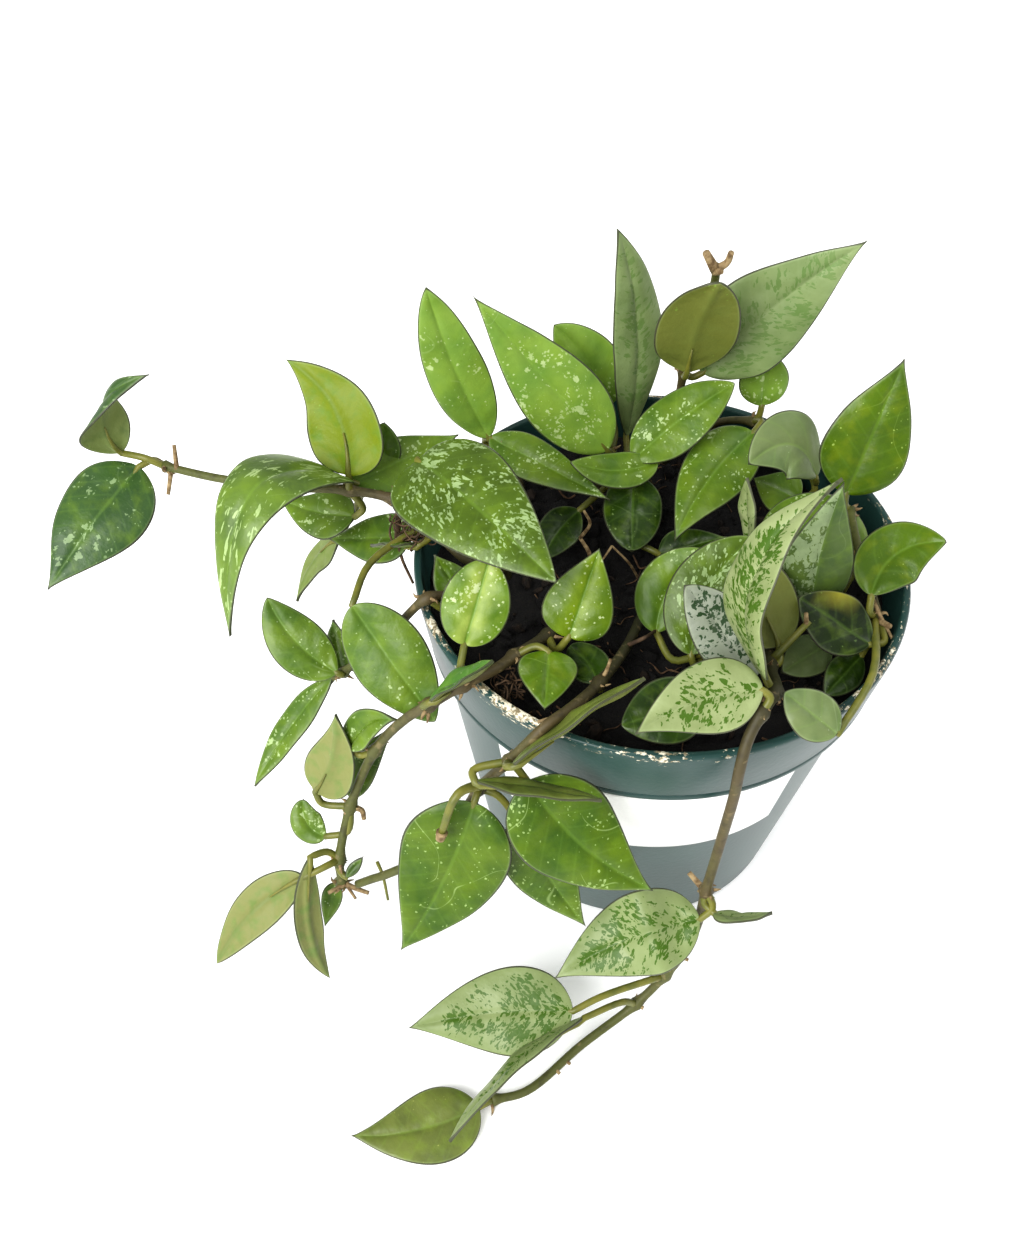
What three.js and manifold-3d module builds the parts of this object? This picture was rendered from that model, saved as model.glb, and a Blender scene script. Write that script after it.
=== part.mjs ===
// A hoya with speckled leaves in a round nursery pot. Millimetres, +Z up, and -Y is the front.
// The origin is the middle of the pot's flat base, where it stands on the surface.
import * as THREE from 'three';
import { mergeVertices } from 'three/addons/utils/BufferGeometryUtils.js';
import Module from 'manifold-3d';

const wasm = await Module();
wasm.setup();

// ---------------------------------------------------------------- driving sizes

const ROUND_SIDES = 40; // facets round the pot and the soil

// The pot is the common 4 inch nursery pot, with a band under its rim that stacks on the next pot.
const POT_HEIGHT = 94;
const RIM_RADIUS = 54;
const BAND_BOTTOM = 75;
const BAND_STEP = 2; // how far the band stands out from the wall under it
const WALL_RADIUS = 49.6; // outside, just under the band
const FOOT_RADIUS = 39.5;
const WALL = 1.3;
const FLOOR_TOP = 2.6;
const FLOOR_RECESS = 1.2; // the floor between the middle pad and the foot ring is off the ground
const PAD_RADIUS = 6;
const FOOT_RING = 4.5;
const DRAIN_HOLES = 8;
const DRAIN_RADIUS = 4;
const DRAIN_CIRCLE = 24;

const GAP = 0.3; // clearance between pieces that touch

const SOIL_TOP = 81.5;
const SOIL_LUMP = 0.8;
const ROOT_FOOT = 72; // stems stand in holes from here
const ROOT_TOP = 85; // and go straight up to here, clear of the soil

// The sticker is a common address label, laid round the wall under the band.
const LABEL_WIDTH = 66.7;
const LABEL_HEIGHT = 25.4;
const LABEL_THICKNESS = 0.4;
const LABEL_BOTTOM = 46.5;
const LABEL_AZIMUTH = -95.5; // degrees from +X, so it sits left of the front

const BLADE = 1; // leaf thickness
const STALK_RADIUS = 1.05;
const SPUR_SIDES = 5;
const STEM_SIDES = 6;
const MERGE = 0.15; // edges shorter than this, left by joining, are closed up
const BROAD_LEAF = 15.5; // leaves wider than this get twice the facets across
const BROAD_STATIONS = [0.07, 0.28, 0.52, 0.78, 1]; // where a blade is cut across, from base to tip
const NARROW_STATIONS = [0.1, 0.38, 0.7, 1];
const LONG_STALK = 12; // stalks longer than this get twice the facets along
const STALK_BEND = 0.35; // how far a stalk's bend is drawn towards the stem

// ---------------------------------------------------------------- colours

const POT_GREEN = '#2a5a60';
const SOIL_BLACK = '#1d1713';
const LABEL_WHITE = '#eeeeec';
const LEAF_GREEN = '#5c8a36';
const LEAF_DARK = '#3d6a34';
const LEAF_SILVER = '#93b07d';
const LEAF_BRIGHT = '#79a534';

// ---------------------------------------------------------------- solids from three.js geometry

const vector = (point) => new THREE.Vector3(...point);

/** A manifold solid of a closed three.js geometry. */
function solid(geometry) {
  const bare = geometry.clone();
  bare.deleteAttribute('normal');
  bare.deleteAttribute('uv');
  const merged = mergeVertices(bare, 1e-4);
  const vertProperties = new Float32Array(merged.attributes.position.array);
  const triVerts = new Uint32Array(merged.index.array);
  return new wasm.Manifold(new wasm.Mesh({ numProp: 3, vertProperties, triVerts }));
}

/** The three.js geometry of a manifold solid. */
function geometryOf(body) {
  const { vertProperties, triVerts } = body.getMesh();
  const geometry = new THREE.BufferGeometry();
  geometry.setAttribute('position', new THREE.BufferAttribute(new Float32Array(vertProperties), 3));
  geometry.setIndex(new THREE.BufferAttribute(new Uint32Array(triVerts), 1));
  geometry.computeVertexNormals();
  return geometry;
}

/** A profile of [radius, height] pairs turned round the Z axis. */
function turned(profile, sides = ROUND_SIDES) {
  const points = profile.map(([radius, height]) => new THREE.Vector2(radius, height));
  return new THREE.LatheGeometry(points, sides).rotateX(Math.PI / 2);
}

/** A round tube with closed ends along a curve. */
function tube(curve, radius, sides, steps) {
  const section = new THREE.Shape();
  for (let side = 0; side < sides; side += 1) {
    const angle = (2 * Math.PI * side) / sides;
    const corner = [radius * Math.cos(angle), radius * Math.sin(angle)];
    if (side === 0) section.moveTo(...corner);
    else section.lineTo(...corner);
  }
  return new THREE.ExtrudeGeometry(section, { extrudePath: curve, steps, bevelEnabled: false });
}

const smooth = (points) => new THREE.CatmullRomCurve3(points, false, 'centripetal');

/** An upright round peg, from one height to another. */
function peg([x, y], radius, bottom, top, sides) {
  const height = top - bottom;
  const upright = new THREE.CylinderGeometry(radius, radius, height, sides).rotateX(Math.PI / 2);
  return solid(upright.translate(x, y, bottom + height / 2));
}

// ---------------------------------------------------------------- pot, soil and label

/** The wall's outer radius under the band. */
const wallRadius = (height) => FOOT_RADIUS + ((WALL_RADIUS - FOOT_RADIUS) * height) / BAND_BOTTOM;

const bandFoot = WALL_RADIUS + BAND_STEP;

function potGeometry() {
  const inner = (radius) => radius - WALL;
  const outside = [
    [0, 0],
    [PAD_RADIUS, 0],
    [PAD_RADIUS + FLOOR_RECESS, FLOOR_RECESS],
    [FOOT_RADIUS - FOOT_RING - 2 * FLOOR_RECESS, FLOOR_RECESS],
    [FOOT_RADIUS - FOOT_RING - FLOOR_RECESS, 0],
    [FOOT_RADIUS - FLOOR_RECESS, 0],
    [wallRadius(FLOOR_RECESS), FLOOR_RECESS],
    [WALL_RADIUS, BAND_BOTTOM - 1],
    [bandFoot, BAND_BOTTOM],
    [bandFoot + 0.2, BAND_BOTTOM + 2],
    [RIM_RADIUS, POT_HEIGHT - 0.7],
    [RIM_RADIUS - 0.4, POT_HEIGHT],
  ];
  const inside = [
    [inner(RIM_RADIUS) - 0.2, POT_HEIGHT],
    [inner(RIM_RADIUS) - 0.6, POT_HEIGHT - 0.7],
    [inner(bandFoot), BAND_BOTTOM + WALL],
    [inner(WALL_RADIUS), BAND_BOTTOM - 2],
    [inner(wallRadius(FLOOR_TOP)), FLOOR_TOP + 1],
    [inner(wallRadius(FLOOR_TOP)) - 1, FLOOR_TOP],
    [0, FLOOR_TOP],
  ];
  let body = solid(turned([...outside, ...inside]));
  for (let hole = 0; hole < DRAIN_HOLES; hole += 1) {
    const angle = (2 * Math.PI * (hole + 0.5)) / DRAIN_HOLES;
    const centre = [DRAIN_CIRCLE * Math.cos(angle), DRAIN_CIRCLE * Math.sin(angle)];
    body = body.subtract(peg(centre, DRAIN_RADIUS, -1, FLOOR_TOP + 1, 10));
  }
  return geometryOf(body);
}

/** How far the soil's surface stands above or below its level. */
function soilLump(x, y) {
  const broad = Math.sin(0.21 * x + 0.6) * Math.cos(0.18 * y - 0.4);
  const fine = Math.sin(0.61 * x - 0.43 * y) * Math.cos(0.52 * y + 0.37 * x + 1);
  return SOIL_LUMP * (broad + fine);
}

function soilGeometry(holes) {
  const inner = (radius) => radius - WALL - GAP;
  const edge = inner(bandFoot) + 0.5;
  const sides = [
    [0, FLOOR_TOP + GAP],
    [inner(wallRadius(FLOOR_TOP)) - 1, FLOOR_TOP + GAP],
    [inner(wallRadius(FLOOR_TOP)), FLOOR_TOP + GAP + 1],
    [inner(WALL_RADIUS), BAND_BOTTOM - 2],
    [inner(bandFoot), BAND_BOTTOM + WALL + GAP],
    [edge, SOIL_TOP],
  ];
  const top = [42, 31, 20, 9, 0].map((radius) => [radius, SOIL_TOP]);
  const geometry = turned([...sides, ...top]);
  const points = geometry.attributes.position;
  for (let i = 0; i < points.count; i += 1) {
    const [x, y, z] = [points.getX(i), points.getY(i), points.getZ(i)];
    const onTop = z > SOIL_TOP - 0.01 && Math.hypot(x, y) < edge - 1;
    if (onTop) points.setZ(i, z + soilLump(x, y));
  }
  let body = solid(geometry);
  for (const { root, radius } of holes) {
    const hole = peg(root, radius + 2 * GAP, ROOT_FOOT - GAP, ROOT_TOP + 2, 8);
    body = body.subtract(hole);
  }
  return geometryOf(body);
}

/** A flat sticker bent round the wall, whose radius grows with height. */
function labelGeometry() {
  const flat = new THREE.BoxGeometry(LABEL_WIDTH, LABEL_THICKNESS, LABEL_HEIGHT, 14, 1, 1);
  const middle = LABEL_BOTTOM + LABEL_HEIGHT / 2;
  const points = flat.attributes.position;
  for (let i = 0; i < points.count; i += 1) {
    const [along, out, up] = [points.getX(i), points.getY(i), points.getZ(i)];
    const height = middle + up;
    const radius = wallRadius(height) + GAP + LABEL_THICKNESS / 2 - out;
    const angle = THREE.MathUtils.degToRad(LABEL_AZIMUTH) + along / wallRadius(middle);
    points.setXYZ(i, radius * Math.cos(angle), radius * Math.sin(angle), height);
  }
  return geometryOf(solid(flat));
}

// ---------------------------------------------------------------- leaves

// How a blade's outline swells from the base and narrows to the tip.
const FORMS = {
  ovate: { rise: 0.6, taper: 1.25 },
  oval: { rise: 0.6, taper: 0.8 },
  long: { rise: 0.8, taper: 1 },
  round: { rise: 0.5, taper: 0.6 },
  heart: { rise: 0.42, taper: 1.1 },
  blunt: { rise: 0.3, taper: 0.9 },
};

/**
 * One leaf of a stem. `at` is the point of the stem's path that its stalk grows from, counted from 0.
 * `base` and `tip` are the blade's ends, and `face` is roughly where its upper side looks.
 * `arch` and `sway` bow the midrib up and sideways, in millimetres at mid-length. `fold` lifts both
 * halves from flat, in degrees, `cup` turns their edges down again and `twist` turns the tip.
 * `via` is a point that a bent stalk passes.
 */
function leaf(at, base, tip, wide, face, shape = {}) {
  const plain = { arch: 0, sway: 0, fold: 10, cup: 0.2, twist: 0, form: 'ovate', via: null };
  return { at, base, tip, wide, face, ...plain, ...shape };
}

/** The point of a blade's midrib at s, from 0 at its base to 1 at its tip, and its own axes there. */
function midrib(blade, s) {
  const base = vector(blade.base);
  const along = vector(blade.tip).sub(base);
  const x = along.clone().normalize();
  const face = vector(blade.face);
  const n = face.addScaledVector(x, -face.dot(x)).normalize();
  const y = n.clone().cross(x);
  const bow = n.clone().multiplyScalar(blade.arch).addScaledVector(y, blade.sway);
  const point = base.addScaledVector(along, s).addScaledVector(bow, 4 * s * (1 - s));
  const forward = along.addScaledVector(bow, 4 * (1 - 2 * s)).normalize();
  const turn = THREE.MathUtils.degToRad(blade.twist) * s;
  const across = y.addScaledVector(forward, -y.dot(forward)).normalize();
  across.applyAxisAngle(forward, turn);
  return { point, across, up: forward.clone().cross(across) };
}

/** A point of a blade at s along it and t across it, from -1 to 1, on its upper or lower side. */
function bladePoint(blade, s, t, side) {
  const { rise, taper } = FORMS[blade.form];
  const widest = rise / (rise + taper);
  const peak = widest ** rise * (1 - widest) ** taper;
  const half = ((blade.wide / 2) * s ** rise * (1 - s) ** taper) / peak;
  const fold = THREE.MathUtils.degToRad(blade.fold);
  const { point, across, up } = midrib(blade, s);
  const lift = Math.abs(t) * Math.sin(fold) - blade.cup * t * t;
  const slope = Math.sign(t) * Math.sin(fold) - 2 * blade.cup * t;
  const normal = up.clone().multiplyScalar(Math.cos(fold)).addScaledVector(across, -slope);
  point.addScaledVector(across, half * t * Math.cos(fold)).addScaledVector(up, half * lift);
  return point.addScaledVector(normal.normalize(), (side * BLADE) / 2);
}

/** The frames that a leaf's stalk passes, from inside the stem to the foot of the blade. */
function stalkFrames(blade, from) {
  const start = midrib(blade, 0);
  const reach = from.distanceTo(start.point);
  const forward = midrib(blade, 0.1).point.sub(start.point).normalize();
  const behind = start.point.clone().addScaledVector(forward, -reach / 2);
  const bend = blade.via ? vector(blade.via) : behind.lerp(from, STALK_BEND);
  const way = smooth([from, bend, start.point]);
  const steps = blade.via || reach > LONG_STALK ? 4 : 2;
  const frames = [start];
  for (let step = steps - 1; step >= 0; step -= 1) {
    const ahead = way.getTangentAt(step / steps);
    const across = frames[0].across.clone();
    across.addScaledVector(ahead, -across.dot(ahead)).normalize();
    const up = ahead.clone().cross(across);
    frames.unshift({ point: way.getPointAt(step / steps), across, up });
  }
  return frames;
}

/** A point of a stalk's flattened six-sided section, at t across it, on its upper or lower side. */
function stalkPoint({ point, across, up }, t, side) {
  const rise = side * STALK_RADIUS * (t === 0 ? 0.95 : 0.5);
  return point.clone().addScaledVector(across, STALK_RADIUS * t).addScaledVector(up, rise);
}

/** A leaf as a closed shell: both sides are split into the same triangles, and a rim joins them. */
function leafSolid(blade, from) {
  const broad = blade.wide > BROAD_LEAF;
  const stalk = stalkFrames(blade, from);
  const stations = broad ? BROAD_STATIONS : NARROW_STATIONS;
  const columns = broad ? 4 : 2;
  const last = stalk.length + stations.length - 1;
  const points = [];
  const numbers = new Map();
  const corner = (i, j, side) => {
    const across = (2 * j) / columns - 1;
    const onStalk = i < stalk.length;
    const t = onStalk ? Math.trunc(across) + 0 : across;
    const key = `${i}/${i === last ? 0 : t}/${side}`;
    if (!numbers.has(key)) {
      numbers.set(key, points.length / 3);
      const s = stations[i - stalk.length];
      const point = onStalk ? stalkPoint(stalk[i], t, side) : bladePoint(blade, s, t, side);
      points.push(...point.toArray());
    }
    return numbers.get(key);
  };
  const triangles = [];
  const quad = (a, b, c, d) => {
    if (a !== b && b !== c && c !== a) triangles.push(a, b, c);
    if (a !== c && c !== d && d !== a) triangles.push(a, c, d);
  };
  for (let i = 0; i < last; i += 1) {
    for (let j = 0; j < columns; j += 1) {
      const [a, b, c, d] = [[i, j], [i + 1, j], [i + 1, j + 1], [i, j + 1]];
      quad(...[a, b, c, d].map(([u, v]) => corner(u, v, 1)));
      quad(...[a, d, c, b].map(([u, v]) => corner(u, v, -1)));
    }
    quad(corner(i, 0, 1), corner(i, 0, -1), corner(i + 1, 0, -1), corner(i + 1, 0, 1));
    quad(
      corner(i + 1, columns, 1),
      corner(i + 1, columns, -1),
      corner(i, columns, -1),
      corner(i, columns, 1),
    );
  }
  const middle = columns / 2;
  quad(corner(0, 0, -1), corner(0, 0, 1), corner(0, middle, 1), corner(0, middle, -1));
  quad(corner(0, middle, -1), corner(0, middle, 1), corner(0, columns, 1), corner(0, columns, -1));
  const geometry = new THREE.BufferGeometry();
  geometry.setAttribute('position', new THREE.Float32BufferAttribute(points, 3));
  geometry.setIndex(triangles);
  return solid(geometry);
}

/** A stem with its leaves and dry spurs as one solid. */
function leafyStem({ root, radius, path, leaves, spurs = [] }) {
  const foot = [[...root, ROOT_FOOT], [...root, (ROOT_FOOT + ROOT_TOP) / 2], [...root, ROOT_TOP]];
  const way = smooth([...foot, ...path].map(vector));
  const steps = Math.round(1.3 * path.length) + 3;
  const parts = [solid(tube(way, radius, STEM_SIDES, steps))];
  for (const blade of leaves) {
    parts.push(leafSolid(blade, vector(path[blade.at])));
  }
  for (const { from, to, thick } of spurs) {
    const line = new THREE.LineCurve3(vector(from), vector(to));
    parts.push(solid(tube(line, thick, SPUR_SIDES, 1)));
  }
  return geometryOf(wasm.Manifold.union(parts).simplify(MERGE));
}

// Every leafy stem: where it stands in the soil, the points that it passes above it, and its leaves.
const STEMS = {
  left_runner: {
    root: [-34, 3],
    radius: 1.3,
    path: [
      [-42, -1, 92],
      [-51, 4, 99],
      [-58, 7, 103],
      [-68, 9, 104],
      [-81, 11, 103],
      [-98, 16, 101],
      [-111, 21, 100],
      [-119, 24, 102],
    ],
    leaves: [
      leaf(6, [-117, 21, 100], [-135.5, -4, 86], 21, [0, -2, 3], { arch: 2, fold: 6 }),
      leaf(6, [-121, 23.5, 102], [-109.5, 23.5, 124], 13, [-0.6, 1, -0.6], { sway: -7, twist: 120 }),
      leaf(2, [-69, 11.5, 105], [-90.5, -24, 94], 17, [-0.3, -0.6, 1], { form: 'heart', arch: 23, sway: -2 }),
      leaf(3, [-67.5, 9.5, 108], [-80.5, 26, 126], 17.5, [0.3, 2, -1], { form: 'heart', sway: 4.5 }),
      leaf(3, [-68, 12, 103], [-44.5, 26, 105], 14, [0, -1, 2]),
      leaf(3, [-67.5, 9, 96], [-85.5, 17.5, 93], 12.5, [0, -1, 2], { sway: 1 }),
      leaf(1, [-54.5, 3.5, 95], [-74.5, 11.5, 86], 12.5, [0, -1, 2]),
      leaf(3, [-73.5, 17, 80], [-84.5, 10, 66], 9, [2, 1, 0.5], { sway: 3, via: [-67, 18, 94] }),
      leaf(1, [-52.5, -2, 98.5], [-63.5, 1, 95], 9, [0, 1, 1]),
      leaf(2, [-52, 3.5, 118], [-24, -29, 116], 24, [0, -1, 2], { form: 'blunt', arch: 3, fold: 8 }),
      leaf(1, [-65.5, -19, 98], [-48.5, -35.5, 80], 17, [-0.5, -2, 2], {
        form: 'oval',
        via: [-62.5, -8, 99],
      }),
      leaf(3, [-62, 17, 102], [-60.5, 22, 112], 9, [0, -2, 1], { form: 'oval' }),
    ],
    spurs: [
      { from: [-108, 19.5, 100.5], to: [-108, 22, 105.5], thick: 0.6 },
      { from: [-109.5, 20.5, 100], to: [-110.5, 16.5, 95.5], thick: 0.6 },
      { from: [-57, 6.5, 102], to: [-58, 2.5, 93], thick: 1.2 },
    ],
  },
  left_low: {
    root: [-40, -10],
    radius: 1.2,
    path: [
      [-45, -13, 94],
      [-50, -17, 98],
      [-57, -18, 90],
      [-65, -18, 80],
      [-70, -18, 74],
    ],
    leaves: [
      leaf(1, [-43, -12, 92], [-49, -5.5, 99], 9.5, [1, -1, 1], { via: [-46, -16, 93] }),
      leaf(4, [-71, -19.5, 76], [-86, -8, 88], 12.5, [0, -2, 3], { form: 'oval', sway: 2 }),
      leaf(4, [-70.5, -16, 73], [-72.5, -7.5, 80], 9, [-1, -1, 1]),
      leaf(4, [-72.5, -17.5, 72], [-91.5, -32.5, 50], 8, [-1, -1, 1], { form: 'long', sway: -1.5 }),
    ],
  },
  left_trailer: {
    root: [-16, 0],
    radius: 1.6,
    path: [
      [-21, -16, 89],
      [-25, -22, 92],
      [-32, -30, 95],
      [-36, -35, 97],
      [-42, -39.5, 98],
      [-49, -40, 92],
      [-54, -39, 86],
      [-61.5, -38, 73],
      [-68, -42, 57],
      [-71, -49, 46],
      [-71, -51, 38],
    ],
    leaves: [
      leaf(5, [-48.5, -42, 96], [-36, -39, 105], 10, [1, 0.7, 1.6], { form: 'long', fold: 25 }),
      leaf(7, [-67, -37, 72], [-56, -38, 84], 9, [-1, -1, 1], {
        fold: 25,
        sway: 2.5,
        via: [-65, -37.5, 70.5],
      }),
      leaf(8, [-75.5, -40, 60], [-69.5, -33.5, 80], 14, [1, 2, -1], { form: 'blunt', fold: 12, sway: -2 }),
      leaf(9, [-69, -35.5, 50], [-58, -28, 68], 7, [0, -1, 1], { sway: 1.5 }),
      leaf(8, [-74, -45.5, 50], [-79, -39, 55], 7.5, [0, -2, 2.4], { form: 'round', sway: 2 }),
      leaf(9, [-78.5, -53.5, 46], [-99.5, -64.5, 26], 11, [0.3, 1, -2], { form: 'oval', sway: 2.5 }),
      leaf(9, [-77, -50.5, 50], [-75, -64.5, 18], 7.5, [-1, 1, -0.6], {
        form: 'long',
        sway: 3,
        via: [-73.5, -48.5, 48.5],
      }),
      leaf(10, [-73, -49.5, 36], [-76, -55.5, 26], 5, [0, -2, 2.4]),
      leaf(9, [-69.5, -52.5, 44], [-65.5, -49.5, 48], 5, [0, -1, 1], {
        form: 'long',
        via: [-71, -50.5, 44],
      }),
      leaf(4, [-42, -30.5, 99], [-37, -19, 112], 14.5, [0, -2, 2.4], { form: 'round', fold: 14 }),
      leaf(1, [-21, -27.5, 98], [-15, -16, 112], 15, [0, -2, 2.4], { form: 'heart' }),
      leaf(2, [-25, -30.5, 97], [-26, -42, 93], 12.5, [0, -1, 1.4], {
        form: 'heart',
        via: [-27.5, -29, 97],
      }),
    ],
    spurs: [
      { from: [-71, -49, 45], to: [-62, -47.5, 40.5], thick: 1 },
      { from: [-72, -49, 45], to: [-75, -48.5, 47], thick: 0.7 },
    ],
  },
  front_trailer: {
    root: [-1, -4],
    radius: 1.6,
    path: [
      [-8, -22, 89],
      [-15, -36, 94],
      [-21, -45, 98],
      [-26, -50, 99],
      [-33, -52, 90],
      [-39, -50.5, 78],
      [-48, -53, 58],
      [-58, -54, 47],
      [-63.5, -54.5, 42.5],
    ],
    leaves: [
      leaf(4, [-32.5, -57, 96], [-8, -47, 110], 12, [-1, 1.6, 1], {
        form: 'long',
        fold: 20,
        sway: 2,
        via: [-33.5, -55.5, 93.5],
      }),
      leaf(5, [-40, -54.5, 79], [-56, -70.5, 46], 23.5, [0, -2, 2], { sway: 1.5 }),
      leaf(4, [-29.5, -54, 86], [-3.5, -65, 62], 21.5, [0, -2, 2], { sway: -2.5 }),
      leaf(5, [-31.5, -54, 72], [-16.5, -64, 44], 15, [0, -2, 2], { sway: -1 }),
      leaf(4, [-39.5, -56, 89], [-15.5, -61.5, 91], 9, [0, 1.6, 2], {
        form: 'long',
        sway: 1,
        via: [-40, -53.5, 89],
      }),
      leaf(1, [-15, -33, 90], [-20.5, -23.5, 90], 9, [0, -1, 2.4], { form: 'round', sway: -1 }),
    ],
    spurs: [
      { from: [-38, -52, 82], to: [-43, -56, 84], thick: 1.1 },
      { from: [-42.5, -55.5, 84], to: [-46.5, -60, 76], thick: 1.1 },
      { from: [-59, -54, 46], to: [-58.5, -58.5, 43], thick: 0.7 },
    ],
  },
  silver_trailer: {
    root: [23, -12],
    radius: 1.4,
    path: [
      [20, -31, 93],
      [18, -43.5, 101],
      [14, -50, 103],
      [11.5, -54, 100],
      [10.4, -57, 94.8],
      [10.5, -57.5, 86.8],
      [10.4, -57, 67.6],
      [9.5, -58.5, 49.7],
      [9, -60, 36],
      [7, -62, 27],
      [3.4, -63.4, 17],
      [-3, -67, 9],
      [-16, -75, 4],
      [-29, -85, 2],
      [-37, -87, 1.8],
    ],
    leaves: [
      leaf(1, [15.5, -42, 104], [25, -28, 142], 18, [-1, -0.2, 0.25], { arch: 10, fold: 15 }),
      leaf(1, [14.5, -38.5, 98], [1, -26, 112], 13, [0, -2, 2.4], { form: 'oval', sway: -1 }),
      leaf(2, [14, -47.5, 107], [-10, -55.5, 104], 14.5, [0, -1.3, 2], { sway: -2 }),
      leaf(7, [8.5, -62.5, 44], [-23, -70, 30], 19, [0, -1, 2], { sway: -2 }),
      leaf(7, [11.5, -62, 46], [23.5, -63, 48], 8, [0, 1, 1], { sway: -2 }),
      leaf(10, [-18.5, -72.5, 18], [-56.5, -74.5, 13], 20.5, [0, -1, 2], {
        sway: -1.5,
        via: [-12, -69.5, 19],
      }),
      leaf(11, [-14, -74.5, 17], [-44, -100.5, 14], 12, [-0.5, 0.4, 0.7], { form: 'long', arch: 3 }),
      leaf(14, [-40, -89, 3.2], [-69, -95, 1.8], 17, [0, -0.2, 2], { sway: 2 }),
      leaf(0, [22.5, -26, 93], [11, -11, 105], 17.5, [0, 1, -2], { form: 'round', sway: 1 }),
    ],
    spurs: [
      { from: [9.5, -58.5, 49], to: [6, -55, 51], thick: 0.8 },
      { from: [20.5, -29, 92], to: [28, -24, 99], thick: 0.9 },
    ],
  },
  right_wall: {
    root: [41.5, -18.5],
    radius: 1.2,
    path: [
      [44, -17, 93],
      [42, -6, 98],
      [42, 8, 99],
    ],
    leaves: [
      leaf(2, [40.5, 9, 103], [49, 21, 130], 19.5, [0, -2, 1.4]),
      leaf(0, [41.5, -18, 100], [56.5, -10.5, 108], 14, [-0.5, -1, 2], { form: 'oval', sway: 4 }),
      leaf(0, [41, -26, 94], [26.5, -18.5, 100], 13.5, [0, -1, 2], { form: 'oval' }),
      leaf(0, [41, -24, 87.5], [31, -35.5, 89], 8, [0, -1, 2], { form: 'oval' }),
      leaf(0, [29.5, -50.5, 97], [19, -45, 103], 10, [-0.6, -1, 2], {
        form: 'oval',
        via: [39, -36, 97],
      }),
      leaf(0, [35.5, -19.5, 86.5], [24, -27.5, 86.5], 9.5, [0, -1, 2], { form: 'oval' }),
      leaf(1, [44.5, -0.5, 94], [22, 4, 97], 16, [0, -1, 2], { form: 'oval', sway: -4 }),
      leaf(1, [19, 0.5, 96], [17.5, 6.5, 110], 7, [-1.3, -0.6, 0], { form: 'long', via: [32, -9, 90] }),
      leaf(1, [31, -15, 91], [33.5, -6.5, 121], 15.5, [0, -1.6, 1.2], { sway: 1 }),
    ],
    spurs: [{ from: [44, -18, 92.5], to: [45.5, -22.5, 95.5], thick: 0.8 }],
  },
  back_rim: {
    root: [15, 41],
    radius: 1.2,
    path: [
      [16, 43, 93],
      [25, 40, 97],
      [34, 29, 98],
    ],
    leaves: [
      leaf(1, [26.5, 40, 102], [25.5, 42, 116], 12, [0, -2, 1], { form: 'oval' }),
      leaf(1, [23.5, 31.5, 101], [3, 1, 96], 16, [0, -1, 2], { sway: -2 }),
      leaf(2, [35.5, 16.5, 101], [19, 13, 108], 16, [0, -2, 2.6], { arch: 2, form: 'oval', sway: -5.5 }),
      leaf(2, [35.5, 23.5, 87], [25, 30, 88], 12, [0, -1, 2]),
    ],
  },
  tall_back: {
    root: [6, 42],
    radius: 1.2,
    path: [
      [6.7, 41, 98],
      [6.6, 38, 113],
      [8, 33, 131],
      [9, 30, 143],
      [8.5, 29, 147],
    ],
    leaves: [
      leaf(1, [6.5, 33.5, 117], [9, 24.5, 146], 18, [0, 1, -0.6], { form: 'round', sway: -1 }),
      leaf(1, [11, 38, 113], [39.5, 34.5, 149], 21.5, [0, -2, 1], { sway: 1.5 }),
    ],
    spurs: [
      { from: [8.5, 29, 146], to: [6, 28, 150.5], thick: 0.8 },
      { from: [8.5, 29, 146], to: [11, 28, 150.5], thick: 0.8 },
    ],
  },
  centre_back: {
    root: [1, 29],
    radius: 1.2,
    path: [
      [-1, 29, 90],
      [-3, 27.5, 97],
    ],
    leaves: [
      leaf(1, [-5, 38, 94], [-11, 37.5, 150], 13, [1, -2, 0.4], { form: 'long', sway: -4 }),
      leaf(1, [-5, 21.5, 101.5], [17.5, 33, 114], 14, [0, -1, 2], { form: 'oval', sway: 1 }),
      leaf(1, [0.5, 21.5, 101], [-19.5, 18, 104], 9, [0, -1, 2], { form: 'oval', sway: 2 }),
      leaf(1, [-4.5, 22.5, 96], [-5.5, 5, 89], 14, [0, -1, 2], { form: 'round' }),
      leaf(1, [1, 6, 87], [16, 7.5, 91], 10, [0, -1, 3]),
      leaf(1, [-19, 16, 89], [-22.5, 6, 87], 6.5, [0, -1, 2], { form: 'oval', sway: -1 }),
    ],
  },
  back_left: {
    root: [-11, 33],
    radius: 1.2,
    path: [
      [-10, 33, 90],
      [-9, 32, 95],
    ],
    leaves: [
      leaf(1, [-10.5, 27.5, 99], [-40.5, 30, 139], 18.5, [0, -2, 1]),
      leaf(1, [-9.5, 40, 102], [-23, 45, 121], 14.5, [0, -2, 1], { form: 'oval', sway: -1.5 }),
    ],
  },
  left_back: {
    root: [-30.5, 31],
    radius: 1.2,
    path: [
      [-34, 33, 90],
      [-36, 32, 97],
    ],
    leaves: [
      leaf(1, [-38, 32, 99], [-50.5, 34.5, 138], 14, [0, -2, 1], { form: 'oval', sway: 1 }),
      leaf(0, [-37.5, 32, 99], [-10.5, 12, 98], 11, [0, -1, 2]),
    ],
  },
  centre: {
    root: [9.5, -12],
    radius: 1.2,
    path: [
      [8, -24, 90],
      [8.4, -28, 95],
    ],
    leaves: [
      leaf(0, [4, -29, 94], [16.5, -11, 110], 16, [0, -1, 2], { form: 'oval', sway: 3 }),
      leaf(1, [-2, -19.5, 90], [9, -8.5, 103], 13.5, [0, -1, 2], { form: 'oval', sway: 3 }),
      leaf(1, [6, -40.5, 95], [-11, -45, 92], 14, [0, -1, 2], { form: 'oval' }),
    ],
  },
};

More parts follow.
